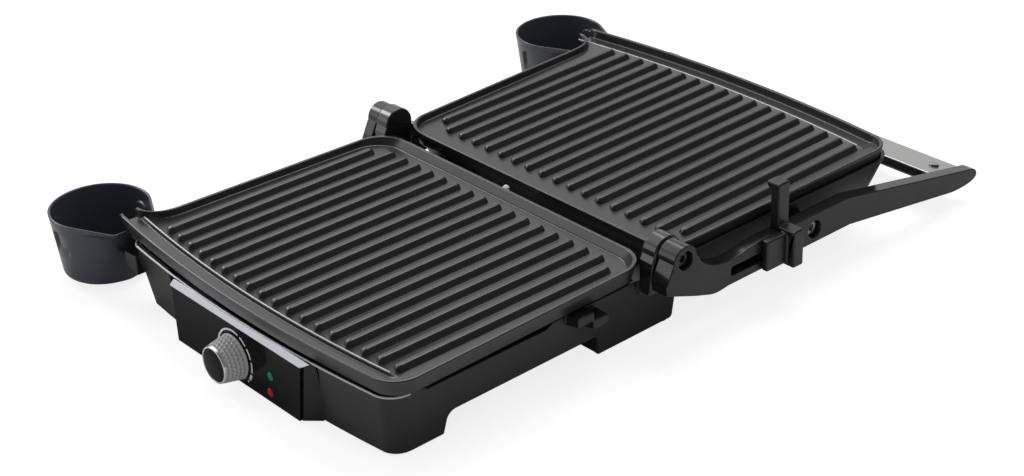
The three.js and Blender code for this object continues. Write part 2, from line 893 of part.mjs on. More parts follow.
// The base shell: a tapered tub on four legs, with rear shelf and ears, panel box, ledge and cup hanger.
function baseHousing() {
  const outer = loft([tubOutline(tubDraft, 0), tubOutline(0, 0)], [tubBottom, tubTop]);
  const inner = loft(
    [tubOutline(tubDraft, tubWall), tubOutline(0, tubWall)], [tubBottom - overrun, tubTop + overrun],
  );
  const podInner = loft(
    [podOutline(podFaceReach - podWall, 1, podWall), podOutline(podFaceReach - podWall, 0, podWall)],
    [podBottom + podWall, podTop - podWall],
  );
  const overShelf = block([-earInnerX, plateWellRearY, rearShelfTop], [earInnerX, farOut, tubTop + overrun]);
  const behindEars = block([-farOut, earRearY, rearShelfTop], [farOut, farOut, tubTop + overrun]);
  const shell = cut(join(cut(outer, overShelf, behindEars, podRoom()), podSolid()), inner, podInner);
  const shelves = plateShelves(-1).map((shelf) => overlapOf(outer, shelf));
  const studShelf = block(
    [studX - studShelfHalfWidth, plateWellRearY - tubWall, studShelfTop - studShelfThickness],
    [studX + studShelfHalfWidth, studShelfRearY, studShelfTop],
  );
  const solid = join(
    shell, ...rearOfBase(outer), ...legBlocks(outer), ...shelves, studShelf, cupHanger(), clipLedge(),
  );
  return cut(solid, ...baseCuts());
}

// The gap between the front and rear legs along each side.
function legNotch() {
  const low = tubBottom - overrun;
  const side = notchTop - notchRound;
  const frontY = -notchToReach;
  const rearY = -notchFromReach;
  return crosswise(
    [
      ...points([frontY - notchLean, low]),
      ...bend([frontY, side], [frontY + notchLean, notchTop], [frontY + notchRound + notchLean, notchTop]),
      ...bend([rearY - notchRound, notchTop], [rearY - notchLean, notchTop], [rearY - notchLean, side]),
      ...points([rearY, low]),
    ],
    -tubHalfAtFront - overrun, tubHalfAtFront + overrun,
  );
}

// The lip is a little lower along the sides, ahead of the ledge.
function lipDips() {
  const high = tubTop + overrun;
  const outline = points(
    [-lipDipTo, high], [-lipDipTo + lipDipSlope, tubTop - lipDipDepth],
    [-lipDipFrom - lipDipSlope, tubTop - lipDipDepth], [-lipDipFrom, high],
  );
  const reachIn = tubHalfAtFront - tubCornerRadius;
  return [crosswise(outline, reachIn, farOut), crosswise(outline, -farOut, -reachIn)];
}

function baseCuts() {
  const rearNotch = block(
    [-rearNotchHalfWidth, tubRearY - tubWall - overrun, tubBottom - overrun],
    [rearNotchHalfWidth, tubRearY + overrun, rearNotchTop],
  );
  const footSockets = footPlaces().map(([x, y]) => uprightRod(
    x, y, footRadius + clearance, tubBottom - overrun, footHeight + clearance, roundSides,
  ));
  const coverScrewHoles = coverScrewPlaces().map(([x, y]) => join(
    uprightRod(x, y, screwHoleRadius, tubBottom, legBlockTop + overrun, smallSides),
    uprightRod(x, y, screwHeadRadius + clearance, tubBottom - overrun, coverScrewHeadTop, smallSides),
  ));
  const glandHole = frontRod(
    glandX, glandHeight, glandRadius + clearance, -tubRearY - overrun, -tubRearY + tubWall + overrun,
  );
  const shaftHole = frontRod(
    knobX, knobHeight, shaftHoleRadius + clearance, podRootReach, podFaceReach + overrun,
  );
  const collarEnd = podFaceReach - podWall + thermostatCollarLength;
  const collarHole = frontRod(knobX, knobHeight, thermostatCollarRadius + clearance, podRootReach, collarEnd);
  const lampHoles = [readyLamp, powerLamp].map(([x, z]) => (
    frontRod(x, z, lampRadius + clearance, podFaceReach - podWall - overrun, podFaceReach + overrun)
  ));
  const bracketScrewHoles = [-1, 1].map((hand) => crosswiseRod(
    bracketScrewY, bracketScrewHeight, screwHoleRadius,
    Math.min(hand * (earPocketX - overrun), hand * (padX + overrun)),
    Math.max(hand * (earPocketX - overrun), hand * (padX + overrun)), smallSides,
  ));
  const studShelfLow = studShelfTop - studShelfThickness;
  const studHole = uprightRod(
    studX, studY, studRadius + clearance, studShelfLow - overrun, studShelfTop + overrun, smallSides,
  );
  return [
    legNotch(), ...lipDips(), rearNotch, ...footSockets, ...coverScrewHoles, glandHole, shaftHole,
    collarHole, ...lampHoles, ...plateShelfHoles(-1), ...bracketScrewHoles, studHole,
    tonguePocket(cupFrontY, cupRimLower),
  ];
}

// A rod along Y whose ends are given as reaches toward the control panel.
function frontRod(x, z, radius, fromReach, toReach, sides = roundSides) {
  return turned(rodProfile(radius, fromReach, toReach), sides).rotateX(Math.PI).translate(x, 0, z);
}

function frontTurned(x, z, profile, sides = roundSides) {
  return turned(profile, sides).rotateX(Math.PI).translate(x, 0, z);
}

const coverLow = legBlockTop + clearance;
const coverScrewHeadTop = legBlockTop - coverScrewSeat;

function coverScrewPlaces() {
  return footPlaces().map(([x, y]) => [x, y - coverScrewOffset]);
}

// The closing sheet inside the tub, resting on the leg blocks, with cooling slots.
function bottomCover() {
  const share = (coverLow - tubBottom) / (tubTop - tubBottom);
  const outline = tubOutline(tubDraft * (1 - share), tubWall + coverGap);
  const sheet = prism(outline, coverLow, coverLow + coverThickness);
  const slots = [];
  for (let index = 0; index < ventCount; index += 1) {
    const x = (index - (ventCount - 1) / 2) * ventPitch;
    slots.push(block(
      [x - ventWidth / 2, -ventTo, coverLow - overrun],
      [x + ventWidth / 2, -ventFrom, coverLow + coverThickness + overrun],
    ));
  }
  const holes = coverScrewPlaces().map(([x, y]) => uprightRod(
    x, y, screwShaftRadius + clearance / 2, coverLow - overrun, coverLow + coverThickness + overrun,
    smallSides,
  ));
  const thermostatRoom = block(
    [knobX - thermostatHalfWidth - coverGap, -tubReach, coverLow - overrun],
    [knobX + thermostatHalfWidth + coverGap, -thermostatBack + coverGap, coverLow + coverThickness + overrun],
  );
  const bushingRoom = block(
    [glandX - glandRadius - coverGap, tubRearY - tubWall - glandInnerLength - coverGap, coverLow - overrun],
    [glandX + glandRadius + coverGap, tubRearY, coverLow + coverThickness + overrun],
  );
  return cut(sheet, ...slots, ...holes, thermostatRoom, bushingRoom);
}

function coverScrew(x, y) {
  const headTop = coverScrewHeadTop - clearance / 2;
  const head = uprightRod(x, y, screwHeadRadius, headTop - screwHeadHeight, headTop, smallSides);
  const shaftTop = coverLow + coverThickness + overrun;
  const shaft = uprightRod(x, y, screwShaftRadius, headTop - overrun, shaftTop, smallSides);
  return join(head, shaft);
}

function rubberFoot(x, y) {
  return uprightRod(x, y, footRadius, 0, footHeight);
}

// The glossy panel on the front of the box, with holes for the shaft and the two lamps.
function controlPanel() {
  const back = podFaceReach + clearance;
  const front = podFaceReach + panelThickness;
  const face = points(
    [podLeftX + podLeftNarrowing, podBottom + overrun], [podRightX - podNarrowing, podBottom + overrun],
    [podRightX, podTop], [podLeftX, podTop],
  );
  const sheet = lengthwise(face, -front, -back);
  const shaftHole = frontRod(knobX, knobHeight, shaftHoleRadius, back - overrun, front + overrun);
  const lampHoles = [readyLamp, powerLamp].map(([x, z]) => (
    frontRod(x, z, lampRadius + clearance, back - overrun, front + overrun)
  ));
  return cut(sheet, shaftHole, ...lampHoles);
}

// The bright strip that lies on the sloping top edge above the panel.
function trimStrip() {
  const low = [-(podFaceReach + panelThickness), podTop + clearance];
  const high = [-trimHighReach, podTop + trimRise + clearance];
  const length = Math.hypot(trimRun, trimRise);
  const outY = (-trimRise / length) * trimThickness;
  const outZ = (trimRun / length) * trimThickness;
  return crosswise(
    points(low, [low[0] + outY, low[1] + outZ], [high[0] + outY, high[1] + outZ], high),
    podLeftX, podRightX,
  );
}

const knobBack = podFaceReach + panelThickness + clearance;
const knobFront = knobBack + knobLength;
const capBack = knobFront - knobCapThickness;

// The tapered knob: a shell with a hub for the shaft and a shallow seat for its cap.
function controlKnob() {
  const body = frontTurned(knobX, knobHeight, [
    [0, knobBack], [knobBackRadius, knobBack], [knobFrontRadius, knobFront], [0, knobFront],
  ], finestSides);
  const hollow = frontTurned(knobX, knobHeight, [
    [0, knobBack - overrun], [knobBackRadius - knobWall, knobBack - overrun],
    [knobFrontRadius - knobWall, capBack - knobWall], [0, capBack - knobWall],
  ]);
  const hub = frontRod(knobX, knobHeight, knobHubRadius, knobBack + overrun, capBack - knobWall / 2);
  const seat = frontRod(
    knobX, knobHeight, knobCapRadius + clearance, capBack, knobFront + overrun, finestSides,
  );
  const boreEnd = knobBack + shaftInKnob + clearance;
  const bore = frontRod(knobX, knobHeight, shaftRadius + clearance, knobBack - overrun, boreEnd);
  return cut(join(cut(body, hollow), hub), seat, bore);
}

function knobCap() {
  return frontRod(knobX, knobHeight, knobCapRadius, capBack + clearance, knobFront, finestSides);
}

const thermostatFront = podFaceReach - podWall - clearance;
const thermostatBack = thermostatFront - thermostatDepth;

// The thermostat: a block behind the panel box's front wall, with a collar that centres in it.
function thermostatBody() {
  const front = thermostatFront;
  const back = thermostatBack;
  const body = block(
    [knobX - thermostatHalfWidth, -front, knobHeight - thermostatHalfHeight],
    [knobX + thermostatHalfWidth, -back, knobHeight + thermostatHalfHeight],
  );
  const collar = frontRod(
    knobX, knobHeight, thermostatCollarRadius, front - overrun, front + thermostatCollarLength - clearance,
  );
  const bore = frontRod(knobX, knobHeight, shaftRadius + clearance, back + thermostatDepth / 2, knobBack);
  return cut(join(body, collar), bore);
}

function thermostatShaft() {
  const from = podFaceReach - podWall - thermostatDepth / 2;
  return frontRod(knobX, knobHeight, shaftRadius, from, knobBack + shaftInKnob);
}

function lampLens(x, z) {
  const back = podFaceReach - podWall - clearance;
  const front = podFaceReach + panelThickness;
  return frontTurned(x, z, [
    [0, back - lampFlangeThickness], [lampFlangeRadius, back - lampFlangeThickness], [lampFlangeRadius, back],
    [lampRadius, back], [lampRadius, front], [lampRadius / 2, front + lampDome], [0, front + lampDome],
  ], smallSides);
}

function lampBoard() {
  const front = podFaceReach - podWall - clearance - lampFlangeThickness - boardGap;
  return block(
    [readyLamp[0] - boardHalfWidth, -front, boardLow],
    [readyLamp[0] + boardHalfWidth, -(front - boardThickness), boardHigh],
  );
}

// The ceramic terminal block that stands on the bottom cover, with three clamping screws as raised poles.
function terminalBlock() {
  const low = coverLow + coverThickness + clearance;
  const body = block(
    [-terminalHalfLength, -terminalReach - terminalDepth / 2, low],
    [terminalHalfLength, -terminalReach + terminalDepth / 2, low + terminalHeight],
  );
  const poles = [];
  for (let index = 0; index < terminalPoleCount; index += 1) {
    const x = (index - (terminalPoleCount - 1) / 2) * terminalPolePitch;
    poles.push(uprightRod(
      x, -terminalReach, terminalPoleRadius, low + terminalHeight - overrun,
      low + terminalHeight + overrun, smallSides,
    ));
  }
  return join(body, ...poles);
}

// The bushing in the heel's rear wall where the mains lead would come in.
function cordGland() {
  const inside = -(tubRearY - tubWall);
  const outside = -tubRearY;
  const profile = [
    [0, outside - clearance - glandFlangeThickness - glandOuterLength],
    [glandTipRadius, outside - clearance - glandFlangeThickness - glandOuterLength],
    [glandTipRadius, outside - clearance - glandFlangeThickness],
    [glandFlangeRadius, outside - clearance - glandFlangeThickness],
    [glandFlangeRadius, outside - clearance],
    [glandRadius, outside - clearance],
    [glandRadius, inside + glandInnerLength],
    [0, inside + glandInnerLength],
  ];
  const tip = outside - clearance - glandFlangeThickness - glandOuterLength;
  const bore = rodProfile(glandBoreRadius, tip - overrun, inside + glandInnerLength + overrun);
  return cut(frontTurned(glandX, glandHeight, profile), frontTurned(glandX, glandHeight, bore));
}

// The pale stud that stands behind the lower plate, in a shelf of the base shell.
function rearStud() {
  const flange = studShelfTop + clearance;
  return turned([
    [0, studBottom], [studRadius, studBottom], [studRadius, flange], [studFlangeRadius, flange],
    [studFlangeRadius, flange + studRadius], [studRadius, flange + studRadius],
    [studRadius, studTop - studRadius / 2], [studRadius / 2, studTop], [0, studTop],
  ], smallSides).rotateX(Math.PI / 2).translate(studX, studY, 0);
}

// The post and knuckle that stand at each rear corner of the base and hold the hinge pin.
function hingeBracket(hand) {
  const outline = [
    ...arc(hingeY, hingeHeight, bracketRadius, -20, 180, longArcSteps),
    ...points([postFrontY, hingeHeight - bracketRadius / 2], [postFrontY, postBottom + postFoot]),
    ...bend(
      [postFrontY, postBottom + postFoot], [postFrontY, postBottom], [postFrontY + postFoot, postBottom],
    ).slice(1),
    ...points([postRearY, postBottom], [postHeelY, postHeelHeight]),
  ];
  const lowX = Math.min(hand * bracketInnerX, hand * seamX);
  const highX = Math.max(hand * bracketInnerX, hand * seamX);
  const pinHole = crosswiseRod(
    hingeY, hingeHeight, hingePinHoleRadius,
    Math.min(hand * (hingePinInnerX - clearance), hand * (seamX + overrun)),
    Math.max(hand * (hingePinInnerX - clearance), hand * (seamX + overrun)),
  );
  const screwHole = crosswiseRod(
    bracketScrewY, bracketScrewHeight, screwHoleRadius,
    Math.min(hand * (bracketInnerX - overrun), hand * (bracketScrewEnd + clearance)),
    Math.max(hand * (bracketInnerX - overrun), hand * (bracketScrewEnd + clearance)), smallSides,
  );
  const chamfer = lengthwise(
    points(
      [hand * (seamX + overrun), postBottom + 2 * postChamfer],
      [hand * (seamX + overrun), postBottom - overrun],
      [hand * (seamX - postChamfer - overrun / 2), postBottom - overrun],
    ),
    postFrontY - overrun, postHeelY + overrun,
  );
  return cut(crosswise(outline, lowX, highX), pinHole, screwHole, chamfer);
}

function bracketScrew(hand) {
  const headEnd = earPocketX - clearance / 2;
  const profile = [
    [0, headEnd - screwHeadHeight], [screwHeadRadius, headEnd - screwHeadHeight], [screwHeadRadius, headEnd],
    [screwShaftRadius, headEnd], [screwShaftRadius, bracketScrewEnd], [0, bracketScrewEnd],
  ];
  return turned(profile, smallSides)
    .rotateZ((-hand * Math.PI) / 2)
    .translate(0, bracketScrewY, bracketScrewHeight);
}

// A steel pin with a socket head sunk in the arm's outer face.
function sunkPin(hand, y, z, pinRadius, headRadius, innerX, faceX) {
  const headFront = faceX - sunkHeadDepth + hingePinHeadThickness;
  const headBack = faceX - sunkHeadDepth + clearance;
  const pin = turned([
    [0, innerX], [pinRadius, innerX], [pinRadius, headBack], [headRadius, headBack],
    [headRadius, headFront], [0, headFront],
  ]);
  const socketProfile = rodProfile(pinSocketRadius, headFront - pinSocketDepth, headFront + overrun);
  const socket = turned(socketProfile, socketSides);
  return cut(pin, socket).rotateZ((-hand * Math.PI) / 2).translate(0, y, z);
}

function armTopAt(y) {
  return armTop - (y - armBendY) * Math.tan(THREE.MathUtils.degToRad(handleSlopeDegrees));
}

// The side view of an arm: knuckle, heel, valley, straight bar, sloping end.
function armOutline() {
  const tipTopY = armTipY - armTipRound;
  const tip = [armTipY, armTipBottom + armTipRound];
  return [
    ...arc(hingeY, hingeHeight, armKnuckleRadius, 0, 180, longArcSteps),
    ...bend(armHeelTop, armHeelHollow, armHeelShoulder),
    ...bend(armHeelShoulder, armHeelBulge, armHeelFoot).slice(1),
    ...bend(armUnderFrom, armUnderCorner, [armUnderY, armBottom]),
    ...points([armBendY + armUnderBend, armBottom]),
    ...bend([armTipY - armTipTaper, armTipBottom + armTipSag], [armTipY, armTipBottom], tip),
    ...bend(tip, [armTipY, armTipTop], [tipTopY, armTopAt(tipTopY)]).slice(1),
    ...points([armBendY, armTop], [armLevelY, armTop]),
    ...bend(armValleyFar, armValleyBottom, armValleyNear),
    ...bend(armValleyNear, armThroat, armThroatTop).slice(1),
  ];
}

// How far out an arm's face lies at its root: the right arm is thicker there.
function armRootX(hand) {
  return hand > 0 ? armRootRightX : armOuterX;
}

// Points given along and above the handle's own slope, as plan (y, z) points.
function onHandle(along, above) {
  const slope = THREE.MathUtils.degToRad(handleSlopeDegrees);
  const startZ = armTopAt(handleStartY);
  return new THREE.Vector2(
    handleStartY + along * Math.cos(slope) + above * Math.sin(slope),
    startZ - along * Math.sin(slope) + above * Math.cos(slope),
  );
}

function handTongue(hand) {
  const top = -handleSheet - tongueGap;
  const low = -handleDepth + handleSheet + tongueGap;
  const outline = [
    onHandle(tongueFront, low), onHandle(tongueRear, low),
    onHandle(tongueRear, top), onHandle(tongueFront, top),
  ];
  return crosswise(
    outline, Math.min(hand * tongueInnerX, hand * (armInnerX + overrun)),
    Math.max(hand * tongueInnerX, hand * (armInnerX + overrun)),
  );
}

function handleScrewTool(hand, radius, from, to) {
  const slope = THREE.MathUtils.degToRad(handleSlopeDegrees);
  const foot = onHandle(handleScrewAlong, 0);
  return turned(rodProfile(radius, from, to), smallSides)
    .rotateX(Math.PI / 2 - slope).translate(hand * handleScrewX, foot.x, foot.y);
}

// One lid arm: knuckle, heel, straight bar with the slot or the cup pocket, sloping end and handle tongue.
function lidArm(hand) {
  const rootX = armRootX(hand);
  const fullBar = crosswise(
    armOutline(), Math.min(hand * armInnerX, hand * rootX), Math.max(hand * armInnerX, hand * rootX),
  );
  const beyondFace = prism(
    points(
      [hand * rootX, armRootFromY], [hand * armOuterX, armRootToY], [hand * armOuterX, armTipY + overrun],
      [hand * (rootX + overrun), armTipY + overrun], [hand * (rootX + overrun), armRootFromY],
    ),
    0, hingeHeight + armKnuckleRadius + overrun,
  );
  const bar = hand > 0 ? cut(fullBar, beyondFace) : fullBar;
  const knuckle = crosswiseRod(
    hingeY, hingeHeight, armKnuckleRadius,
    Math.min(hand * (seamX + clearance), hand * (rootX - overrun)),
    Math.max(hand * (seamX + clearance), hand * (rootX - overrun)), finestSides,
  );
  const bores = [
    [hingeY, hingeHeight, hingePinHoleRadius, rootX],
    [pivotY, pivotHeight, pivotHoleRadius, armOuterX],
  ];
  const throughHoles = bores.map(([y, z, radius, faceX]) => crosswiseRod(
    y, z, radius,
    Math.min(hand * (seamX - overrun), hand * faceX), Math.max(hand * (seamX - overrun), hand * faceX),
  ));
  const sinks = bores.map(([y, z, , faceX]) => crosswiseRod(
    y, z, sunkHeadRadius, Math.min(hand * (faceX - sunkHeadDepth), hand * (faceX + overrun)),
    Math.max(hand * (faceX - sunkHeadDepth), hand * (faceX + overrun)),
  ));
  const screwHole = handleScrewTool(hand, screwHoleRadius, -handleScrewLength - overrun, overrun);
  const whole = join(bar, knuckle, handTongue(hand));
  const own = hand > 0 ? clipSlots() : [tonguePocket(cupUpperReach, cupRimUpper)];
  return cut(whole, ...throughHoles, ...sinks, screwHole, ...own);
}

function clipSlots() {
  return [
    block([armInnerX - overrun, slotFromY, slotLow], [armOuterX + overrun, slotToY, slotHigh]),
    block(
      [armInnerX - overrun, slotFromY - slotStepMargin, slotLow - slotStepMargin],
      [slotStepX, slotToY + slotStepMargin, slotHigh + slotStepMargin],
    ),
  ];
}

// The sliding clip: grip and plate outside the arm, post with a hooked foot above it, tongue in the slot.
function slidingClip() {
  const outer = armOuterX + clearance;
  const plate = block([outer, clipFrontY, armBottom], [clipPlateX, clipGripY + overrun, clipPlateTop]);
  const grip = block([outer, clipGripY, clipBottom], [clipGripX, clipRearY, clipShoulderTop]);
  const bridge = block(
    [clipPostInnerX, clipPostFrontY, armTop + clearance], [clipGripX - overrun, clipRearY, clipShoulderTop],
  );
  const post = lengthwise(
    points(
      [clipPostInnerX, armTop + clearance], [clipPostOuterX, armTop + clearance],
      [clipPostOuterX, clipHookTop], [clipPostInnerX - clipHookReach, clipHookTop],
      [clipPostInnerX - clipHookReach, clipHookTop - clipHookThickness],
      [clipPostInnerX, clipHookTop - clipHookThickness - clipSlope],
    ),
    clipPostFrontY, clipRearY,
  );
  const tongue = block(
    [slotStepX - clearance, clipTongueFrontY, clipTongueLow],
    [outer + overrun, clipTongueRearY, clipTongueHigh],
  );
  const keeper = block(
    [armInnerX + clearance, clipTongueFrontY, clipTongueLow - slotStepMargin + clearance],
    [slotStepX - clearance, clipTongueRearY, clipTongueHigh + slotStepMargin - clearance],
  );
  return join(plate, grip, bridge, post, tongue, keeper);
}

// The handle: one sheet of steel folded round three sides, open toward the lid.
function handleChannel() {
  const depth = handleDepth;
  const far = handleTopLength;
  const under = handleTopLength - handleUnderLength;
  const outer = [
    onHandle(0, 0), ...handleCorner(far - handleBend, -handleBend, handleBend, 90, 0),
    ...handleCorner(far - handleBend, handleBend - depth, handleBend, 0, -90), onHandle(under, -depth),
  ];
  const innerBend = handleBend - handleSheet;
  const inner = [
    onHandle(under, handleSheet - depth),
    ...handleCorner(far - handleBend, handleBend - depth, innerBend, -90, 0),
    ...handleCorner(far - handleBend, -handleBend, innerBend, 0, 90), onHandle(0, -handleSheet),
  ];
  const channel = crosswise([...outer, ...inner], -handleHalfWidth, handleHalfWidth);
  const holes = [-1, 1].map((hand) => (
    handleScrewTool(hand, screwHoleRadius, -handleSheet - clearance, overrun)
  ));
  return cut(channel, ...holes);
}

function handleCorner(along, above, radius, fromDegrees, toDegrees) {
  return arc(along, above, radius, fromDegrees, toDegrees, handleCornerSteps)
    .map((point) => onHandle(point.x, point.y));
}

function handleScrew(hand) {
  const head = handleScrewTool(hand, handleScrewHeadRadius, clearance / 2, handleScrewHeadHeight);
  const shaft = handleScrewTool(hand, screwShaftRadius, -handleScrewLength, overrun);
  return join(head, shaft);
}

function lidOutline(margin) {
  return plainOutline(lidHingeReach, margin);
}

// The lid shell: a shallow tapered tray with pivot bosses, plate shelves and a notch under the spout.
function lidHousing() {
  const outer = loft([lidOutline(lidDraft), lidOutline(-lidLipGrowth)], [lidBottom, lidLipTop]);
  const inner = loft(
    [lidOutline(lidDraft + lidWall), lidOutline(lidWall - lidLipGrowth)],
    [lidBottom + lidWall, lidLipTop + overrun],
  );
  const bossHeight = pivotHeight - lidLift;
  const bosses = [-1, 1].map((hand) => crosswiseRod(
    pivotY, bossHeight, lidBossRadius,
    Math.min(hand * lidBossInnerX, hand * (armInnerX - clearance)),
    Math.max(hand * lidBossInnerX, hand * (armInnerX - clearance)),
  ));
  const bossHoles = [-1, 1].map((hand) => crosswiseRod(
    pivotY, bossHeight, lidBossHoleRadius,
    Math.min(hand * (lidBossInnerX - overrun), hand * armInnerX),
    Math.max(hand * (lidBossInnerX - overrun), hand * armInnerX),
  ));
  const shelves = plateShelves(1).map((shelf) => overlapOf(outer, shelf));
  const notch = block(
    [spoutTipX, lidSpoutNotchFrom, lidSpoutNotchFloor],
    [-plateHalfAtHinge + hollowMargin, lidSpoutNotchTo, lidLipTop + overrun],
  );
  const plateRoom = loft(
    [
      spoutedOutline(upperHingeReach, skirtDraft - plateRoomGap, spoutTipX),
      spoutedOutline(upperHingeReach, -plateRoomGap, spoutTipX),
    ],
    [plateSkirtBottom - clearance, plateRimTop],
  );
  const tray = join(cut(outer, inner), ...bosses, ...shelves);
  return cut(tray, plateRoom, notch, ...bossHoles, ...plateShelfHoles(1));
}

function hung(geometry) {
  return geometry.translate(0, -pivotY, lidLift - pivotHeight)
    .rotateX(THREE.MathUtils.degToRad(lidTiltDegrees)).translate(0, pivotY, pivotHeight);
}

// How far the side of a drip cup stands from its axis at a depth below the rim.
function cupRadiusAt(depth) {
  return cupRadius + ((cupBottomRadius - cupRadius) * depth) / cupHeight;
}

// The plan of a drip cup: round, drawn out by two straight flanks to a narrow flat end.
function cupOutline(y, radius, endX, endHalf) {
  const endDistance = endX - cupCentreX;
  const tangent = THREE.MathUtils.radToDeg(
    Math.atan2(endHalf, endDistance) + Math.acos(radius / Math.hypot(endHalf, endDistance)),
  );
  return [
    ...arc(cupCentreX, y, radius, tangent, 360 - tangent, roundSides),
    ...points([endX, y - endHalf], [endX, y + endHalf]),
  ];
}

// The plans of a drip cup at its bottom, at the foot of its flare and at its rim, a margin inside its side.
function cupOutlines(y, margin) {
  const round = [cupHeight, cupFlareDrop].map((depth) => {
    const radius = cupRadiusAt(depth) - margin;
    return cupOutline(y, radius, cupCentreX + radius + cupFlareStand, cupFlareEndHalf);
  });
  return [...round, cupOutline(y, cupRadius - margin, cupEndX - margin, cupEndHalfWidth - margin / 2)];
}

// A drip cup, round below and flared to a flat end at its rim, with a flat tongue on that side.
function dripCup(y, rim) {
  const bottom = rim - cupHeight;
  const flareFoot = rim - cupFlareDrop;
  const hookTop = rim - hookDrop;
  const outer = loft(cupOutlines(y, 0), [bottom, flareFoot, rim]);
  const inner = loft(cupOutlines(y, cupWall), [bottom + cupFloor, flareFoot, rim + overrun]);
  const rootX = cupCentreX + cupRadiusAt(hookDrop) - cupWall;
  const tongue = block(
    [rootX, y - hookHalfWidth, hookTop - hookThickness], [cupEndX + hookLength, y + hookHalfWidth, hookTop],
  );
  return cut(join(outer, tongue), inner);
}

add("base_housing", "plastic", baseHousing());
add("base_bottom_cover", "plastic", bottomCover());
["front_right", "front_left", "rear_right", "rear_left"].forEach((place, index) => {
  add(`rubber_foot_${place}`, "rubber", rubberFoot(...footPlaces()[index]));
  add(`cover_screw_${place}`, "steel", coverScrew(...coverScrewPlaces()[index]));
});
add("control_panel", "gloss", controlPanel());
add("panel_trim_strip", "trim", trimStrip());
add("control_knob", "knob", controlKnob());
add("knob_cap", "gloss", knobCap());
add("thermostat_body", "ceramic", thermostatBody());
add("thermostat_shaft", "steel", thermostatShaft());
add("ready_lamp_lens", "green", lampLens(...readyLamp));
add("power_lamp_lens", "red", lampLens(...powerLamp));
add("lamp_board", "board", lampBoard());
add("terminal_block", "ceramic", terminalBlock());
add("cord_inlet_bushing", "rubber", cordGland());
add("rear_stud", "ceramic", rearStud());
add("lower_plate", "plate", cookingPlate(-1, lowerHingeReach));
add("lower_heating_element", "element", heatingElement(-1));
add("lower_heat_shield", "sheet", heatShield(-1, lowerHingeReach));
bossPlaces(-1).forEach(([x, y], index) => add(`lower_plate_screw_${index + 1}`, "steel", plateScrew(x, y)));
for (const [side, hand] of [["left", -1], ["right", 1]]) {
  add(`hinge_bracket_${side}`, "plastic", hingeBracket(hand));
  add(`bracket_screw_${side}`, "steel", bracketScrew(hand));
  add(`hinge_pin_${side}`, "steel", sunkPin(
    hand, hingeY, hingeHeight, hingePinRadius, hingePinHeadRadius, hingePinInnerX, armRootX(hand),
  ));
  add(`lid_arm_${side}`, "arm", lidArm(hand));
  add(`lid_pivot_pin_${side}`, "steel", sunkPin(
    hand, pivotY, pivotHeight, pivotPinRadius, pivotHeadRadius, pivotPinInnerX, armOuterX,
  ));
  add(`handle_screw_${side}`, "steel", handleScrew(hand));
}
add("handle_channel", "steel", handleChannel());
add("height_clip", "plastic", slidingClip());
add("lid_housing", "plastic", hung(lidHousing()));
add("upper_plate", "plate", hung(cookingPlate(1, upperHingeReach)));
add("upper_heating_element", "element", hung(heatingElement(1)));
add("upper_heat_shield", "sheet", hung(heatShield(1, upperHingeReach)));
bossPlaces(1).forEach(([x, y], index) => {
  add(`upper_plate_screw_${index + 1}`, "steel", hung(plateScrew(x, y)));
});
add("drip_cup_front", "cup", dripCup(cupFrontY, cupRimLower));
add("drip_cup_rear", "cup", dripCup(cupUpperReach, cupRimUpper));

const box = new THREE.Box3().setFromObject(group);
const middle = box.getCenter(new THREE.Vector3());
group.children.forEach((mesh) => mesh.geometry.translate(-middle.x, -middle.y, -box.min.z));

export default group;
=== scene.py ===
"""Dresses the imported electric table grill, opened out flat, as it stands in the photograph."""

import json
from math import acos, atan2, cos, degrees, exp, hypot, pi, radians, sin, sqrt

import bmesh
import bpy
from mathutils import Matrix, Vector
from mathutils.bvhtree import BVHTree
from mathutils.geometry import tessellate_polygon


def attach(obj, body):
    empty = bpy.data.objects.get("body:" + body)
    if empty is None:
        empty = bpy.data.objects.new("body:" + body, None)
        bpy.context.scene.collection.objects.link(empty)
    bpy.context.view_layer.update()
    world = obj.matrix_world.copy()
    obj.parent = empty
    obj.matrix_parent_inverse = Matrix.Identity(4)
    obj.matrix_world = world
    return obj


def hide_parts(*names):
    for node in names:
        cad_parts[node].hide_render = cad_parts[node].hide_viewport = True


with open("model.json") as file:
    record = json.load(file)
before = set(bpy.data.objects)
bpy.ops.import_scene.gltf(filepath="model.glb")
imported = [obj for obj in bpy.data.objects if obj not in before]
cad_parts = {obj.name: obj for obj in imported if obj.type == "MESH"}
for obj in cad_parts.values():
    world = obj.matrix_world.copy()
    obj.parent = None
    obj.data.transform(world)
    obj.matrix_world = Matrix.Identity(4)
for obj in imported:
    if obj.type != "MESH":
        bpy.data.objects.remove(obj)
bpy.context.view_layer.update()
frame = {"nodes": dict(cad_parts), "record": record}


# The studio: a pale floor without edges under soft lamps, and the camera of the photograph.
# The background is white to the camera, a dim even light to the object, and windows to what is glossy.
def sum_of(operation, swapped=False):
    """An operator that adds a Math node for its two values."""
    def operator(self, other):
        return self.graph.math(operation, *((other, self) if swapped else (self, other)))
    return operator


class Term:
    """A node's output that takes part in sums."""

    def __init__(self, graph, socket):
        self.graph = graph
        self.socket = socket

    __add__ = __radd__ = sum_of("ADD")
    __mul__ = __rmul__ = sum_of("MULTIPLY")
    __sub__ = sum_of("SUBTRACT")
    __rsub__ = sum_of("SUBTRACT", swapped=True)
    __truediv__ = sum_of("DIVIDE")
    __rtruediv__ = sum_of("DIVIDE", swapped=True)


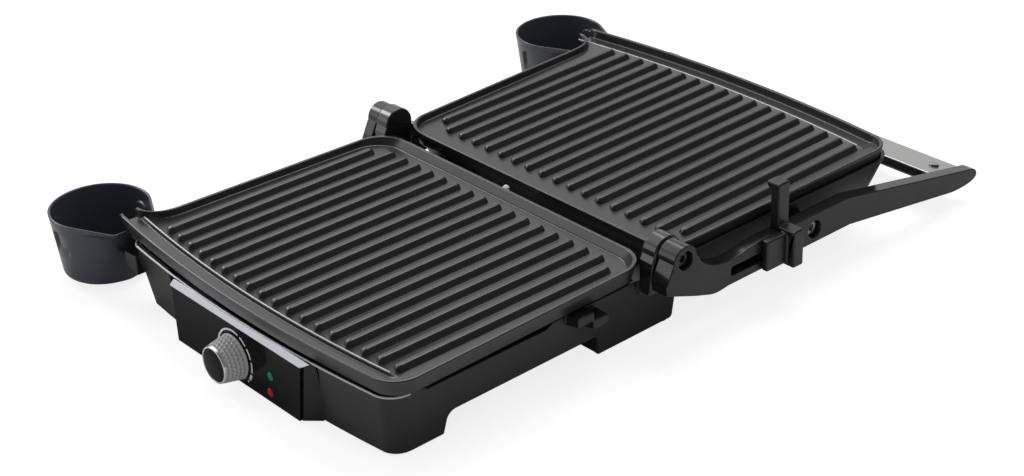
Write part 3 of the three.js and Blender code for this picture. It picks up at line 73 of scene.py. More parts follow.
class Graph:
    """A node tree that is filled by short calls."""

    def __init__(self, tree):
        self.tree = tree
        tree.nodes.clear()

    def node(self, kind, sockets=None, **settings):
        new = self.tree.nodes.new(kind)
        for key, value in settings.items():
            setattr(new, key, value)
        for key, value in (sockets or {}).items():
            if isinstance(value, Term):
                self.tree.links.new(value.socket, new.inputs[key])
            else:
                new.inputs[key].default_value = value
        return new

    def out(self, kind, sockets=None, output=0, **settings):
        return Term(self, self.node(kind, sockets, **settings).outputs[output])

    def math(self, operation, *values):
        return self.out("ShaderNodeMath", dict(enumerate(values)), operation=operation)

    def vector(self, *values):
        return self.out("ShaderNodeCombineXYZ", dict(enumerate(values)))

    def parts_of(self, vector):
        return [Term(self, socket) for socket in self.node("ShaderNodeSeparateXYZ", {0: vector}).outputs]


def new_material(name):
    material = bpy.data.materials.new(name)
    material.use_nodes = True
    return material, Graph(material.node_tree)


def kinds_of_ray(graph):
    """Terms for the rays that see the plain background, and for those that see it in a gloss."""
    ray = graph.node("ShaderNodeLightPath")
    camera, clear, gloss = (
        Term(graph, ray.outputs[f"Is {kind} Ray"]) for kind in ("Camera", "Transmission", "Glossy")
    )
    return graph.math("MAXIMUM", camera, clear), gloss


def added(name, data):
    thing = bpy.data.objects.new(name, data)
    scene.collection.objects.link(thing)
    return thing


world_light = 0.42
gloss_dark = 0.10
# Bright windows that a gloss mirrors: the way to each, the cosines of the angles from it at which its light
# starts and is full, and its brightness.
windows = (
    ((-0.72, 0.62, 0.28), 0.80, 0.99, 0.80),
    ((-0.67, -0.14, 0.73), 0.72, 0.97, 1.5),
    ((-0.67, -0.74, 0.12), 0.93, 0.985, 1.6),
)
white = (1, 1, 1, 1)
floor_colour = (0.80, 0.80, 0.80, 1)
floor_colour_seen = (0.36, 0.36, 0.36, 1)
floor_lift = 0.82
floor_half_size = 9
lamp_aim = Vector((0, 0, 0.05))
# Each lamp's place and size in metres, and its watts.
lamps = {
    "overhead lamp": ((-0.25, 0.55, 1.5), (1.3, 1.0), 13),
    "left lamp": ((-1.45, -0.55, 1.0), (0.45, 0.7), 8),
}

scene = bpy.context.scene
scene.view_settings.view_transform = "Standard"

world = bpy.data.worlds.new("studio")
world.use_nodes = True
scene.world = world
sky = Graph(world.node_tree)
to_eye, seen_in_gloss = kinds_of_ray(sky)
direction = sky.out("ShaderNodeNewGeometry", output=1)
gloss_level = gloss_dark
for way, edge, full, brightness in windows:
    away = Vector(way).normalized() * -1
    toward = sky.out("ShaderNodeVectorMath", {0: direction, 1: away}, output=1, operation="DOT_PRODUCT")
    limits = {0: toward, 1: edge, 2: full, 3: 0.0, 4: brightness}
    window = sky.out("ShaderNodeMapRange", limits, interpolation_type="SMOOTHSTEP")
    gloss_level = window + gloss_level
light_level = to_eye + (1 - to_eye) * (seen_in_gloss * gloss_level + (1 - seen_in_gloss) * world_light)
background = sky.out("ShaderNodeBackground", {0: white, 1: light_level})
sky.node("ShaderNodeOutputWorld", {0: background})

floor_mesh = bpy.data.meshes.new("floor")
corners = [(x * floor_half_size, y * floor_half_size, 0) for x, y in ((-1, -1), (1, -1), (1, 1), (-1, 1))]
floor_mesh.from_pydata(corners, [], [(0, 1, 2, 3)])
floor = added("floor", floor_mesh)
material, graph = new_material("pale floor")
matt = graph.out("ShaderNodeBsdfDiffuse", {"Color": floor_colour})
dimmed = graph.out("ShaderNodeBsdfDiffuse", {"Color": floor_colour_seen})
glow = graph.out("ShaderNodeEmission", {"Color": white, "Strength": floor_lift})
to_camera = graph.out("ShaderNodeAddShader", {0: dimmed, 1: glow})
surface = graph.out("ShaderNodeMixShader", {0: kinds_of_ray(graph)[0], 1: matt, 2: to_camera})
graph.node("ShaderNodeOutputMaterial", {0: surface})
floor_mesh.materials.append(material)

for name, (place, size, watts) in lamps.items():
    lamp = bpy.data.lights.new(name, "AREA")
    lamp.shape = "RECTANGLE"
    lamp.size, lamp.size_y = size
    lamp.energy = watts
    stand = added(name, lamp)
    stand.location = place
    stand.rotation_euler = (lamp_aim - Vector(place)).to_track_quat("-Z", "Y").to_euler()

camera_place = Vector((1.0118, -0.8663, 0.7137))
camera_azimuth = radians(49.693)
camera_elevation = radians(28.227)
camera_roll = radians(-2.172)
camera_lens = 71.66
camera_sensor = 36
camera_turn = (
    Matrix.Rotation(camera_azimuth, 4, "Z") @ Matrix.Rotation(pi / 2 - camera_elevation, 4, "X")
    @ Matrix.Rotation(camera_roll, 4, "Z")
)
lens = bpy.data.cameras.new("photograph")
lens.lens = camera_lens
lens.sensor_width = camera_sensor
camera = added("photograph", lens)
camera.matrix_world = Matrix.Translation(camera_place) @ camera_turn
scene.camera = camera


# Base shell: one injection moulding in black plastic, a tub on four legs with the panel box in front, and
# the flat sheet that closes it below. They have the even grain of a spark-eroded mould and rounded edges.
broad_scale = 28
rough_spread = 0.1
side_facing = 0.97
merge_distance = 0.000004
flat_degrees = 0.8
shell_sharp_degrees = 32
shell_edge = 0.0007
sheet_edge = 0.0004


def grained(
    name, colour, roughness, grain=0.0006, depth=0.00001, mottle=0.04, metallic=0.0, coat=0.0, gloss=0.5,
    edge_roughness=None,
):
    """A finish with a fine grain, a faint mottle and, where it is given, another roughness at its edges."""
    material, graph = new_material(name)
    place = graph.out("ShaderNodeTexCoord", output=3)
    fine = graph.out("ShaderNodeTexNoise", {"Vector": place, "Scale": 1 / grain, "Detail": 2.0})
    broad = graph.out("ShaderNodeTexNoise", {"Vector": place, "Scale": broad_scale, "Detail": 3.0})
    uneven = broad * (2 * mottle) + (1 - mottle)
    tint = graph.out("ShaderNodeVectorMath", {0: colour, "Scale": uneven}, operation="SCALE")
    bump = graph.out("ShaderNodeBump", {"Strength": 0.6, "Distance": depth, "Height": fine})
    rough = broad * rough_spread + (roughness - rough_spread / 2)
    if edge_roughness is not None:
        facing_x = graph.parts_of(graph.out("ShaderNodeNewGeometry", output=1))[0]
        flat = graph.math("GREATER_THAN", graph.math("ABSOLUTE", facing_x), side_facing)
        rough = edge_roughness + (rough - edge_roughness) * flat
    shader = graph.out("ShaderNodeBsdfPrincipled", {
        "Base Color": tint, "Roughness": rough, "Metallic": metallic, "Coat Weight": coat,
        "Coat Roughness": 0.12, "Specular IOR Level": gloss, "Normal": bump,
    })
    graph.node("ShaderNodeOutputMaterial", {0: shader})
    return material


def clamp(value, low, high):
    return min(max(value, low), high)


def smooth_under(work, sharp_degrees):
    """Makes faces smooth, and keeps the edges sharp that turn by the given angle or more."""
    for face in work.faces:
        face.smooth = True
    for line in work.edges:
        line.smooth = line.calc_face_angle(0) < radians(sharp_degrees)


def made_plain(holder, modifier):
    """The mesh that a modifier makes, with the modifier taken off again."""
    mesh = bpy.data.meshes.new_from_object(holder.evaluated_get(bpy.context.evaluated_depsgraph_get()))
    holder.modifiers.remove(modifier)
    return mesh


def dress(name, node, body, material, edge, segments=2):
    """Puts a copy with merged corners, rounded edges and smooth curved faces in a CAD solid's place."""
    mesh = bpy.data.meshes.new(name)
    work = bmesh.new()
    work.from_mesh(frame["nodes"][node].data)
    bmesh.ops.remove_doubles(work, verts=work.verts, dist=merge_distance)
    bmesh.ops.dissolve_limit(
        work, angle_limit=radians(flat_degrees), use_dissolve_boundaries=False, verts=work.verts,
        edges=work.edges,
    )
    smooth_under(work, shell_sharp_degrees)
    form = BVHTree.FromBMesh(work)
    work.to_mesh(mesh)
    work.free()
    piece = added(name, mesh)
    rounding = piece.modifiers.new("rounded edges", "BEVEL")
    rounding.width = edge
    rounding.segments = segments
    rounding.limit_method = "ANGLE"
    rounding.angle_limit = radians(shell_sharp_degrees)
    rounding.use_clamp_overlap = False
    rounding.miter_outer = "MITER_ARC"
    piece.data = made_plain(piece, rounding)
    set_back(piece.data, form, mesh, edge)
    even_faces(piece)
    settle(piece, body, material, [node])


def set_back(rounded, form, mesh, edge):
    """Points that tight corners threw off while rounding go back onto the solid, and into its box."""
    low = [min(vertex.co[axis] for vertex in mesh.vertices) for axis in range(3)]
    high = [max(vertex.co[axis] for vertex in mesh.vertices) for axis in range(3)]
    for vertex in rounded.vertices:
        spot, normal, face, distance = form.find_nearest(vertex.co)
        if distance > edge / 2:
            vertex.co = spot
        vertex.co = [clamp(vertex.co[axis], low[axis], high[axis]) for axis in range(3)]


def even_faces(piece):
    evening = piece.modifiers.new("even faces", "WEIGHTED_NORMAL")
    evening.keep_sharp = True
    evening.weight = 80


def settle(piece, body, material, nodes=()):
    """Gives a piece its material, the body it moves with and the CAD nodes that it stands for."""
    piece.data.materials.clear()
    piece.data.materials.append(material)
    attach(piece, body)
    if nodes:
        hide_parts(*nodes)


black_plastic = grained("black moulded plastic", (0.013, 0.013, 0.015), 0.34, 0.0006, 0.00002)
dress("base_shell", "base_housing", "base", black_plastic, shell_edge)
dress("bottom_sheet", "base_bottom_cover", "base", black_plastic, sheet_edge)


# Lip: the rounded upper edge of the base shell below the plate, where the highlight it catches is painted on
# in light grey.
# It follows the shell's plan: bowed front, round corners and a shoulder under the spout. From here on,
# sizes are in millimetres, x across and reach away from the hinge, and at_rest takes them to the frame.
mm = 0.001
hinge_line_place = (37, -30.03, 0)
at_rest = Matrix.Scale(mm, 4) @ Matrix.Translation(hinge_line_place)
bow_radius = 1130
tub_top = 49
tub_reach = 235.1
tub_bow_x = -15
tub_half = 135.9
tub_corner = 17
tub_spout_x = -154
tub_spout_radius = 11
tub_spout_straight = 6
tub_spout_drop = 13
lip_radius = 0.8
lip_stand = 0.45
lip_right_reach = 210
bead_sides = 10
bead_sharp_degrees = 80


def spread(start, end, steps):
    """Evenly spaced values from start to end."""
    return [start + (end - start) * step / steps for step in range(steps + 1)]


def polar(u, v, radius, angle):
    return (u + radius * cos(radians(angle)), v + radius * sin(radians(angle)))


def arc(u, v, radius, start, end, steps):
    return [polar(u, v, radius, angle) for angle in spread(start, end, steps)]


def bend(start, corner, end, steps):
    """Points of a curve that leaves start toward a corner point and reaches end from it."""
    start, corner, end = Vector(start), Vector(corner), Vector(end)
    return [(1 - t) ** 2 * start + 2 * t * (1 - t) * corner + t * t * end for t in spread(0, 1, steps)]


def tub_reach_at(x):
    return tub_reach - (x - tub_bow_x) ** 2 / (2 * bow_radius)


def fit(mesh, matrix, body, slot, material, *nodes, even=False):
    """Settles a new object of the mesh's name, with its place in its mesh."""
    mesh.transform(matrix)
    piece = added(mesh.name, mesh)
    if even:
        even_faces(piece)
    settle(piece, body, material, nodes)


def meshed(name, work, sharp_degrees=40):
    smooth_under(work, sharp_degrees)
    mesh = bpy.data.meshes.new(name)
    work.to_mesh(mesh)
    work.free()
    return mesh


def skin(work, loops):
    """Adds the faces between each closed loop of points and the next."""
    for first, second in zip(loops, loops[1:]):
        for index in range(len(first)):
            follow = (index + 1) % len(first)
            work.faces.new((first[index], first[follow], second[follow], second[index]))


def swept_bead(name, line, side, top, radius, stand):
    """A round bead that follows a line of (x, reach) points, with its top at a level."""
    work = bmesh.new()
    rings = []
    for index, (x, reach) in enumerate(line):
        before = Vector(line[max(index - 1, 0)])
        after = Vector(line[min(index + 1, len(line) - 1)])
        along = (after - before).normalized()
        rings.append([
            work.verts.new((x + along.y * out, side * (reach - along.x * out), height))
            for out, height in arc(stand - radius, top - radius, radius, 0, 360, bead_sides)[:-1]
        ])
    skin(work, rings)
    work.faces.new(rings[0])
    work.faces.new(rings[-1])
    bmesh.ops.recalc_face_normals(work, faces=work.faces)
    return meshed(name, work, bead_sharp_degrees)


right_x = tub_half - tub_corner
left_x = tub_spout_x + tub_spout_radius
shoulder = tub_reach_at(left_x) - tub_spout_radius - tub_spout_straight
lip_line = [(tub_half, lip_right_reach)]
lip_line += arc(right_x, tub_reach_at(right_x) - tub_corner, tub_corner, 0, 90, 12)
lip_line += [(x, tub_reach_at(x)) for x in spread(right_x, left_x, 48)[1:-1]]
lip_line += arc(left_x, tub_reach_at(left_x) - tub_spout_radius, tub_spout_radius, 90, 180, 12)
dropped = shoulder - tub_spout_drop
lip_line += bend((tub_spout_x, shoulder), (tub_spout_x, dropped), (-tub_half, dropped - tub_spout_drop), 12)
# The lip's light grey colour is a painted highlight on the black plastic.
lip_highlight_paint = grained("burnished lip", (0.60, 0.60, 0.63), 0.26, 0.0006, 0.000004, coat=0.6)
lip = swept_bead("base_lip", lip_line, -1, tub_top, lip_radius, lip_stand)
fit(lip, at_rest, "base", "housing", lip_highlight_paint)


# Lid shell: the same black plastic, a shallow tray that carries the upper plate between the arms.
# Its edges are rounded as the base shell's are, and the pivot pins go into its sides.
dress("lid_shell", "lid_housing", "lid_head", black_plastic, shell_edge)


# Cooking plates: die-cast aluminium pans with a rounded rim, and a gutter for fat along the free edge that
# runs out through a spout. The upper plate hangs from its pivot, a little lifted and tilted. The coat over
# them is satin dark grey, and light grey beads along the gutter's step and the rim are painted highlights.
lid_pivot = Vector((0, 131, 42))
lid_lift = Vector((0, 0, 2.8))
lid_tilt = radians(1.1)
hung = (
    at_rest @ Matrix.Translation(lid_pivot) @ Matrix.Rotation(lid_tilt, 4, "X")
    @ Matrix.Translation(lid_lift - lid_pivot)
)
half_at_hinge = 142
half_at_free = 146.5
plate_reach = 239
hinge_corner = 24
free_corner = 20
spout_tip = -165
spout_side = 211.5
spout_start = 186
rim_height = 66
floor_height = 61
# The skirt's (margin, height) points, from the pan's underside round the skirt's foot to below the rim.
skirt_points = ((4.6, 57.5), (4.4, 54.4), (3.6, 54), (3.0, 54), (2.6, 54.5), (0.3, 64))
plate_wall = 2.6
rim_round = 0.9
wall_lean = 0.5
wall_fillet = 1.2
floor_overlap = 0.04
hidden_margin = 1.7
gutter_line = 223.5
gutter_depth = 1.8
gutter_slope = 1.3
gutter_end = 134
gutter_run_out = 9
# How far the floor's rows of points lie past the gutter's line.
past_gutter = spread(-1.6, 2.0, 12) + [2.4, 3.0]
bead_height = 0.6
bead_before = 0.5
bead_spread = 0.8
corner_steps = 14
edge_steps = 60
spout_steps = 22
round_steps = 6
floor_columns = 150
merge_gap = 0.0005
all_smooth_degrees = 360
ridge_radius = 0.6
ridge_top = floor_height + 0.95
rim_line_margin = 0.5
rim_line_radius = 0.35
# Each plate's body and place, the side of the hinge that it lies on, its near edge's reach, and how far its
# wall leans in there.
plates = {"lower": ("base", at_rest, -1, 10, 4.2), "upper": ("lid_head", hung, 1, 5, 0.4)}


def bowed(reach, x):
    return reach - x * x / (2 * bow_radius)


def smooth_step(low, high, value):
    share = clamp((value - low) / (high - low), 0, 1)
    return share * share * (3 - 2 * share)


def rim_outline(hinge_reach, margin):
    """The plate's plan at a margin inside its edge, and the places of the two points of its mouth."""
    half_hinge = half_at_hinge - margin
    half_free = half_at_free - margin
    near_radius = hinge_corner - margin / 2
    far_radius = free_corner - margin / 2
    near = hinge_reach + margin + near_radius
    far_x = half_free - far_radius
    outline = arc(half_hinge - near_radius, near, near_radius, -90, 0, corner_steps)
    outline += arc(far_x, bowed(plate_reach - margin, far_x) - far_radius, far_radius, 0, 90, corner_steps)
    outline += [(x, bowed(plate_reach - margin, x)) for x in spread(far_x, spout_tip, edge_steps)[1:]]
    mouth = (len(outline), len(outline) + 1)
    mouth_margin = max(plate_wall, margin)
    outline.append((spout_tip, bowed(plate_reach - mouth_margin, spout_tip)))
    outline.append((spout_tip, spout_side + mouth_margin))
    outline += bend(
        (spout_tip, spout_side + margin), (-half_free, spout_side), (-half_free, spout_start), spout_steps,
    )
    outline += arc(near_radius - half_hinge, near, near_radius, 180, 270, corner_steps)
    return outline, mouth


def pan_height(x, reach):
    """The height of the pan's floor: level, with a small bead along the step down to the gutter."""
    past = reach - bowed(gutter_line, x)
    along = smooth_step(gutter_end, gutter_end - gutter_run_out, x)
    drop = gutter_depth * smooth_step(0, gutter_slope, past)
    bead = bead_height * exp(-(((past + bead_before) / bead_spread) ** 2))
    return floor_height + along * (bead - drop)


def floor_limits(x, hinge_reach):
    """The nearest and farthest reach of the pan's floor at x, a little way inside the wall."""
    margin = hidden_margin
    far_radius = free_corner - margin
    far_x = half_at_free - margin - far_radius
    far = bowed(plate_reach - margin, x)
    if x > far_x:
        across = min(x - far_x, far_radius)
        far = bowed(plate_reach - margin, far_x) - far_radius + sqrt(far_radius ** 2 - across ** 2)
    near_radius = hinge_corner - margin
    near_x = half_at_hinge - margin - near_radius
    near = hinge_reach + margin
    edge_x = half_at_hinge - margin
    if abs(x) > edge_x:
        widening = (abs(x) - edge_x) / (half_at_free - half_at_hinge)
        near += near_radius + widening * (spout_start - near - near_radius)
        if x < margin - half_at_free:
            t = 1 - sqrt((x + half_at_free - margin) / (spout_tip + half_at_free - margin))
            side = spout_side + margin
            near = (1 - t) ** 2 * side + 2 * t * (1 - t) * spout_side + t * t * spout_start
    elif abs(x) > near_x:
        near += near_radius - sqrt(near_radius ** 2 - (abs(x) - near_x) ** 2)
    return near, max(near, far)


def quarter(steps):
    """Shares of a quarter round, as (inward, downward) pairs from its side to its top."""
    return [(1 - cos(radians(a)), 1 - sin(radians(a))) for a in spread(0, 90, steps)]


def pan_mesh(name, side, hinge_reach, hinge_slope):
    """The pan, from its underside over skirt, rim and wall to its floor, with the gutter in it."""
    curve = quarter(round_steps)
    rings = [(margin, height, False) for margin, height in skirt_points]
    rim = [(rim_round * inward, rim_height - rim_round * down, False) for inward, down in curve]
    rings += rim + [(plate_wall - margin, height, False) for margin, height, from_floor in rim[::-1]]
    rings += [
        (plate_wall + wall_lean + wall_fillet * inward, wall_fillet * down - floor_overlap, True)
        for inward, down in curve
    ]
    work = bmesh.new()
    loops = []
    for margin, z, from_floor in rings:
        outline, mouth = rim_outline(hinge_reach + (hinge_slope if from_floor else 0), margin)
        loop = []
        for index, (x, reach) in enumerate(outline):
            ground = pan_height(x, reach)
            height = ground + z if from_floor else z
            if index in mouth:
                height = min(height, ground)
            loop.append(work.verts.new((x, side * reach, height)))
        loops.append(loop)
    skin(work, loops)
    work.faces.new(loops[0][::-1])
    widest = half_at_free - hidden_margin
    previous = None
    for angle in spread(0, pi, floor_columns):
        x = widest + (spout_tip - widest) * (1 - cos(angle)) / 2
        near, far = floor_limits(x, hinge_reach)
        line = bowed(gutter_line, x)
        reaches = [near, clamp((near + line) / 2, near, far)]
        reaches += [clamp(line + past, near, far) for past in past_gutter]
        reaches.append(far)
        row = [work.verts.new((x, side * reach, pan_height(x, reach))) for reach in reaches]
        if previous:
            for index in range(len(row) - 1):
                work.faces.new((previous[index], previous[index + 1], row[index + 1], row[index]))
        previous = row
    bmesh.ops.remove_doubles(work, verts=work.verts, dist=merge_gap)
    if side < 0:
        bmesh.ops.reverse_faces(work, faces=work.faces)
    bmesh.ops.triangulate(work, faces=[face for face in work.faces if len(face.verts) > 4])
    return meshed(name, work, all_smooth_degrees)


coat = grained("non-stick coat", (0.017, 0.017, 0.019), 0.29, 0.0009, 0.000018, mottle=0.08, gloss=0.7)
# The ridge bead's light grey colour is a painted highlight along the gutter's step on the dark coat.
ridge_highlight_paint = grained("burnished ridge", (0.62, 0.62, 0.63), 0.30, 0.0007, 0.000008, gloss=0.8)
# The rim bead's light grey colour is a painted highlight along the rim's top edge.
rim_highlight_paint = grained("burnished rim", (0.44, 0.44, 0.45), 0.26, 0.0007, 0.000008, gloss=0.8)
ridge_places = spread(gutter_end - gutter_run_out, spout_tip, edge_steps)
ridge_line = [(x, bowed(gutter_line - bead_before, x)) for x in ridge_places]
for level, (body, matrix, side, hinge_reach, hinge_slope) in plates.items():
    pan = pan_mesh(f"{level}_grill_pan", side, hinge_reach, hinge_slope)
    fit(pan, matrix, body, "plate", coat, f"{level}_plate")
for level, (body, matrix, side, hinge_reach, hinge_slope) in plates.items():
    ridge = swept_bead(f"{level}_ridge", ridge_line, side, ridge_top, ridge_radius, ridge_radius)
    fit(ridge, matrix, body, "plate", ridge_highlight_paint)
    outline, mouth = rim_outline(hinge_reach, rim_line_margin)
    rim_line = outline[mouth[1] + 1:] + outline[:mouth[0]]
    rim = swept_bead(f"{level}_rim", rim_line, side, rim_height, rim_line_radius, 0)
    fit(rim, matrix, body, "plate", rim_highlight_paint)


# Ribs: cast with the plate, eighteen to a side, with a flat crest, sloping flanks and rounded ends.
# Each is a trapezoid with rounded corners that is swept from near the hinge to the gutter's step.
def shape_tree(name, sizes):
    """A node tree with named sizes and a material for inputs, and its inputs as terms."""
    tree = bpy.data.node_groups.new(name, "GeometryNodeTree")
    kinds = {"Geometry": "NodeSocketGeometry", "Material": "NodeSocketMaterial"}
    for socket in ("Geometry", *sizes, "Material"):
        tree.interface.new_socket(socket, in_out="INPUT", socket_type=kinds.get(socket, "NodeSocketFloat"))
    tree.interface.new_socket("Geometry", in_out="OUTPUT", socket_type=kinds["Geometry"])
    graph = Graph(tree)
    entry = graph.node("NodeGroupInput")
    return graph, {socket.name: Term(graph, socket) for socket in entry.outputs if socket.name}


def finish_tree(graph, geometry, material):
    whole = graph.out("GeometryNodeRealizeInstances", {0: geometry})
    dressed = graph.out("GeometryNodeSetMaterial", {"Geometry": whole, "Material": material})
    graph.node("NodeGroupOutput", {0: dressed})


def shaped(name, graph, values, mesh=None):
    """The mesh that a node tree makes from its named values."""
    holder = added("holder", mesh or bpy.data.meshes.new("holder"))
    maker = holder.modifiers.new("shape", "NODES")
    maker.node_group = graph.tree
    for socket in graph.tree.interface.items_tree:
        if socket.in_out == "INPUT" and socket.name in values:
            maker[socket.identifier] = values[socket.name]
    whole = made_plain(holder, maker)
    bpy.data.objects.remove(holder)
    whole.name = name
    return whole


rib_points = 44
rib_corner_points = 8
thinnest = 0.0001
rib_sizes = {
    "Count": 18.0, "Pitch": 14.8, "Near Reach": 25.4, "Outer Near Reach": 34.0, "Far Reach": 219.7,
    "Bow Radius": float(bow_radius), "Foot Width": 9.0, "Crest Width": 3.7, "Rise": 4.0, "Sunk": 2.4,
    "Edge Radius": 1.8, "End Length": 3.2, "Side": 1.0,
}
graph, size = shape_tree("ribs", rib_sizes)
half_span = (size["Count"] - 1) * size["Pitch"] / 2
row = graph.out("GeometryNodeMeshLine", {
    "Count": size["Count"], "Start Location": graph.vector(half_span * -1),
    "Offset": graph.vector(size["Pitch"]),
})
stick = graph.out("GeometryNodeCurvePrimitiveLine", {"Start": (0, 0, 0), "End": (0, 1, 0)})
stick = graph.out("GeometryNodeResampleCurve", {"Curve": stick, "Count": rib_points})
sticks = graph.out("GeometryNodeInstanceOnPoints", {"Points": row, "Instance": stick})
sticks = graph.out("GeometryNodeRealizeInstances", {0: sticks})
across, along, height = graph.parts_of(graph.out("GeometryNodeInputPosition"))
share = 0.5 - graph.math("COSINE", along * pi) * 0.5
outermost = graph.math("GREATER_THAN", graph.math("ABSOLUTE", across), half_span - size["Pitch"] / 2)
near_end = size["Near Reach"] + outermost * (size["Outer Near Reach"] - size["Near Reach"])
far_end = size["Far Reach"] - across * across / (size["Bow Radius"] * 2)
length = far_end - near_end
reach = near_end + length * share
spot = graph.vector(across, reach * size["Side"])
to_end = graph.math("MINIMUM", share, 1 - share) * length / size["End Length"]
short = 1 - graph.math("MINIMUM", to_end, 1)
radius = graph.math("SQRT", graph.math("MAXIMUM", 1 - short * short, thinnest))
sticks = graph.out("GeometryNodeSetCurveRadius", {"Curve": sticks, "Radius": radius})
sticks = graph.out("GeometryNodeSetPosition", {"Geometry": sticks, "Position": spot})
sticks = graph.out("GeometryNodeSetCurveNormal", {"Curve": sticks}, mode="Z_UP")
depth = size["Rise"] + size["Sunk"]
flare = (size["Foot Width"] - size["Crest Width"]) * size["Sunk"] / size["Rise"]
profile = graph.out("GeometryNodeCurvePrimitiveQuadrilateral", {
    "Height": depth, "Bottom Width": size["Foot Width"] + flare, "Top Width": size["Crest Width"],
    "Offset": 0.0,
}, mode="TRAPEZOID")
profile = graph.out("GeometryNodeFilletCurve", {
    "Curve": profile, "Count": rib_corner_points, "Radius": size["Edge Radius"], "Limit Radius": True,
}, mode="POLY")
lift = graph.vector(0, size["Sunk"] - depth / 2)
profile = graph.out("GeometryNodeTransform", {
    "Geometry": profile, "Translation": lift, "Rotation": (0, 0, pi),
})
scale = graph.out("GeometryNodeInputRadius")
ribs = graph.out("GeometryNodeCurveToMesh", {
    "Curve": sticks, "Profile Curve": profile, "Scale": scale, "Fill Caps": True,
})
ribs = graph.out("GeometryNodeSetShadeSmooth", {0: ribs})
finish_tree(graph, ribs, size["Material"])
for level, (body, matrix, side, hinge_reach, hinge_slope) in plates.items():
    mesh = shaped(f"{level}_ribs", graph, {**rib_sizes, "Side": float(side), "Material": coat})
    fit(mesh, matrix @ Matrix.Translation((0, 0, floor_height)), body, "plate", coat)


# Hinge brackets: glossy dark grey posts, screwed to pads on the base's rear ears, that end in knuckles.
# They are moulded with rounded edges, as the arms are, and both are drawn in their (y, z) side view.
def into_material(outline):
    """For each point of an outline, the step that moves it one unit to the left of its direction."""
    points = [Vector(point) for point in outline]
    steps = []
    for before, point, after in zip(points[-1:] + points, points, points[1:] + points[:1]):
        first = (point - before).orthogonal().normalized()
        second = (after - point).orthogonal().normalized()
        steps.append((first + second) / max(1 + first.dot(second), 0.3))
    return steps


def rounded_sheet(work, outlines, first_level, last_level, edge, turn, steps=4):
    """Adds a sheet between two levels to a bmesh: the first outline runs anticlockwise, holes clockwise."""
    low, high = sorted((first_level, last_level))
    curve = quarter(steps)
    levels = [(edge * inward, low + edge * down) for inward, down in curve[::-1]]
    levels += [(edge * inward, high - edge * down) for inward, down in curve]
    ends = {-1: [], 1: []}
    for outline in outlines:
        ways = into_material(outline)
        flats = [
            [Vector((u + way.x * margin, v + way.y * margin, level)) for (u, v), way in zip(outline, ways)]
            for margin, level in levels
        ]
        rings = [[work.verts.new(turn @ flat) for flat in ring] for ring in flats]
        skin(work, rings)
        ends[-1].append((flats[0], rings[0]))
        ends[1].append((flats[-1], rings[-1]))
    for facing_up, loops in ends.items():
        corners = [corner for flat_ring, ring in loops for corner in zip(flat_ring, ring)]
        for triangle in tessellate_polygon([flat_ring for flat_ring, ring in loops]):
            first, second, third = (corners[index][0] for index in triangle)
            face = [corners[index][1] for index in triangle]
            if facing_up * (second - first).cross(third - first).z < 0:
                face.reverse()
            work.faces.new(face)


def ring_of(centre, radius, steps=40, clockwise=True):
    circle = arc(*centre, radius, 0, 360, steps)[:-1]
    return circle[::-1] if clockwise else circle


across_x = Matrix(((0, 0, 1), (1, 0, 0), (0, 1, 0)))
hinge_axis = (-1, 70)
seam = 147.8
bracket_inner = 134.8
bracket_radius = 12
post_bottom = 38
post_front = [(-14.9, 66), (-15.5, 64)]
post_toe = ((-15.5, 45), (-15.5, 38), (-8.5, 38))
post_back = [(6, 38), (9.5, 47)]
post_chamfer = 6
knuckle_edge = 1.3
curve_steps = 10
hands = ((-1, "left"), (1, "right"))

hinge_plastic = grained("glossy hinge plastic", (0.012, 0.013, 0.015), 0.17, 0.0012, 0.000006, coat=0.3)
bracket_outline = (
    arc(*hinge_axis, bracket_radius, -20, 180, 48) + post_front + bend(*post_toe, curve_steps) + post_back
)
for hand, name in hands:
    work = bmesh.new()
    rounded_sheet(work, [bracket_outline], hand * bracket_inner, hand * seam, knuckle_edge, across_x)
    for vertex in work.verts:
        depth = max(post_bottom + 2 * post_chamfer - vertex.co.z, 0) / 2
        if abs(vertex.co.x) > (seam + bracket_inner) / 2:
            vertex.co.x -= hand * depth
    post = meshed(f"hinge_post_{name}", work)
    fit(post, at_rest, "base", "hinge", hinge_plastic, f"hinge_bracket_{name}", even=True)


# Lid arms: fine matt dark grey plastic bars that swing on the brackets and carry the handle.
# The root of each is a knuckle, and sunk screws hold it at the hinge and at the lid's pivot.
arm_inner = 149.5
arm_outer = 160
arm_root_outer = {"left": 160, "right": 164}
arm_root_from = 10
arm_root_to = 45
arm_edge = 0.8
knuckle_radius = 10.6
seam_gap = 0.3
knuckle_steps = 72
knuckle_inset = 3
sunk_radius = 6.5
sunk_depth = 5.4
recess_overlap = 0.4
recess_edge = 0.2
heel = [(-15.0, 63.4), (-18.6, 55.8), (-18.2, 49.6)]
under_bend = ((23.7, 33.8), (30, 31.5), (36, 31.5))
arm_bend_low = (169, 31.5)
tip_far = 315
tip_low = 13.5
tip_top = 25
tip_round = 7
tip_taper = 28
bar_top = [(166, 54), (78, 54)]
valley = ((64, 52.8), (45, 48.4), (29.8, 54.2))
throat = ((29.8, 54.2), (15.2, 59.5), (11.3, 69.2))
# Each corner of the clip's slot: its centre, and the angle at which its curve starts.
slot_corners = ((103.4, 42.9, 90), (103.4, 39.6, 0), (48.6, 39.6, -90), (48.6, 42.9, 180))
slot_round = 1.6
arm_slot = [point for u, v, start in slot_corners for point in arc(u, v, slot_round, start, start - 90, 5)]

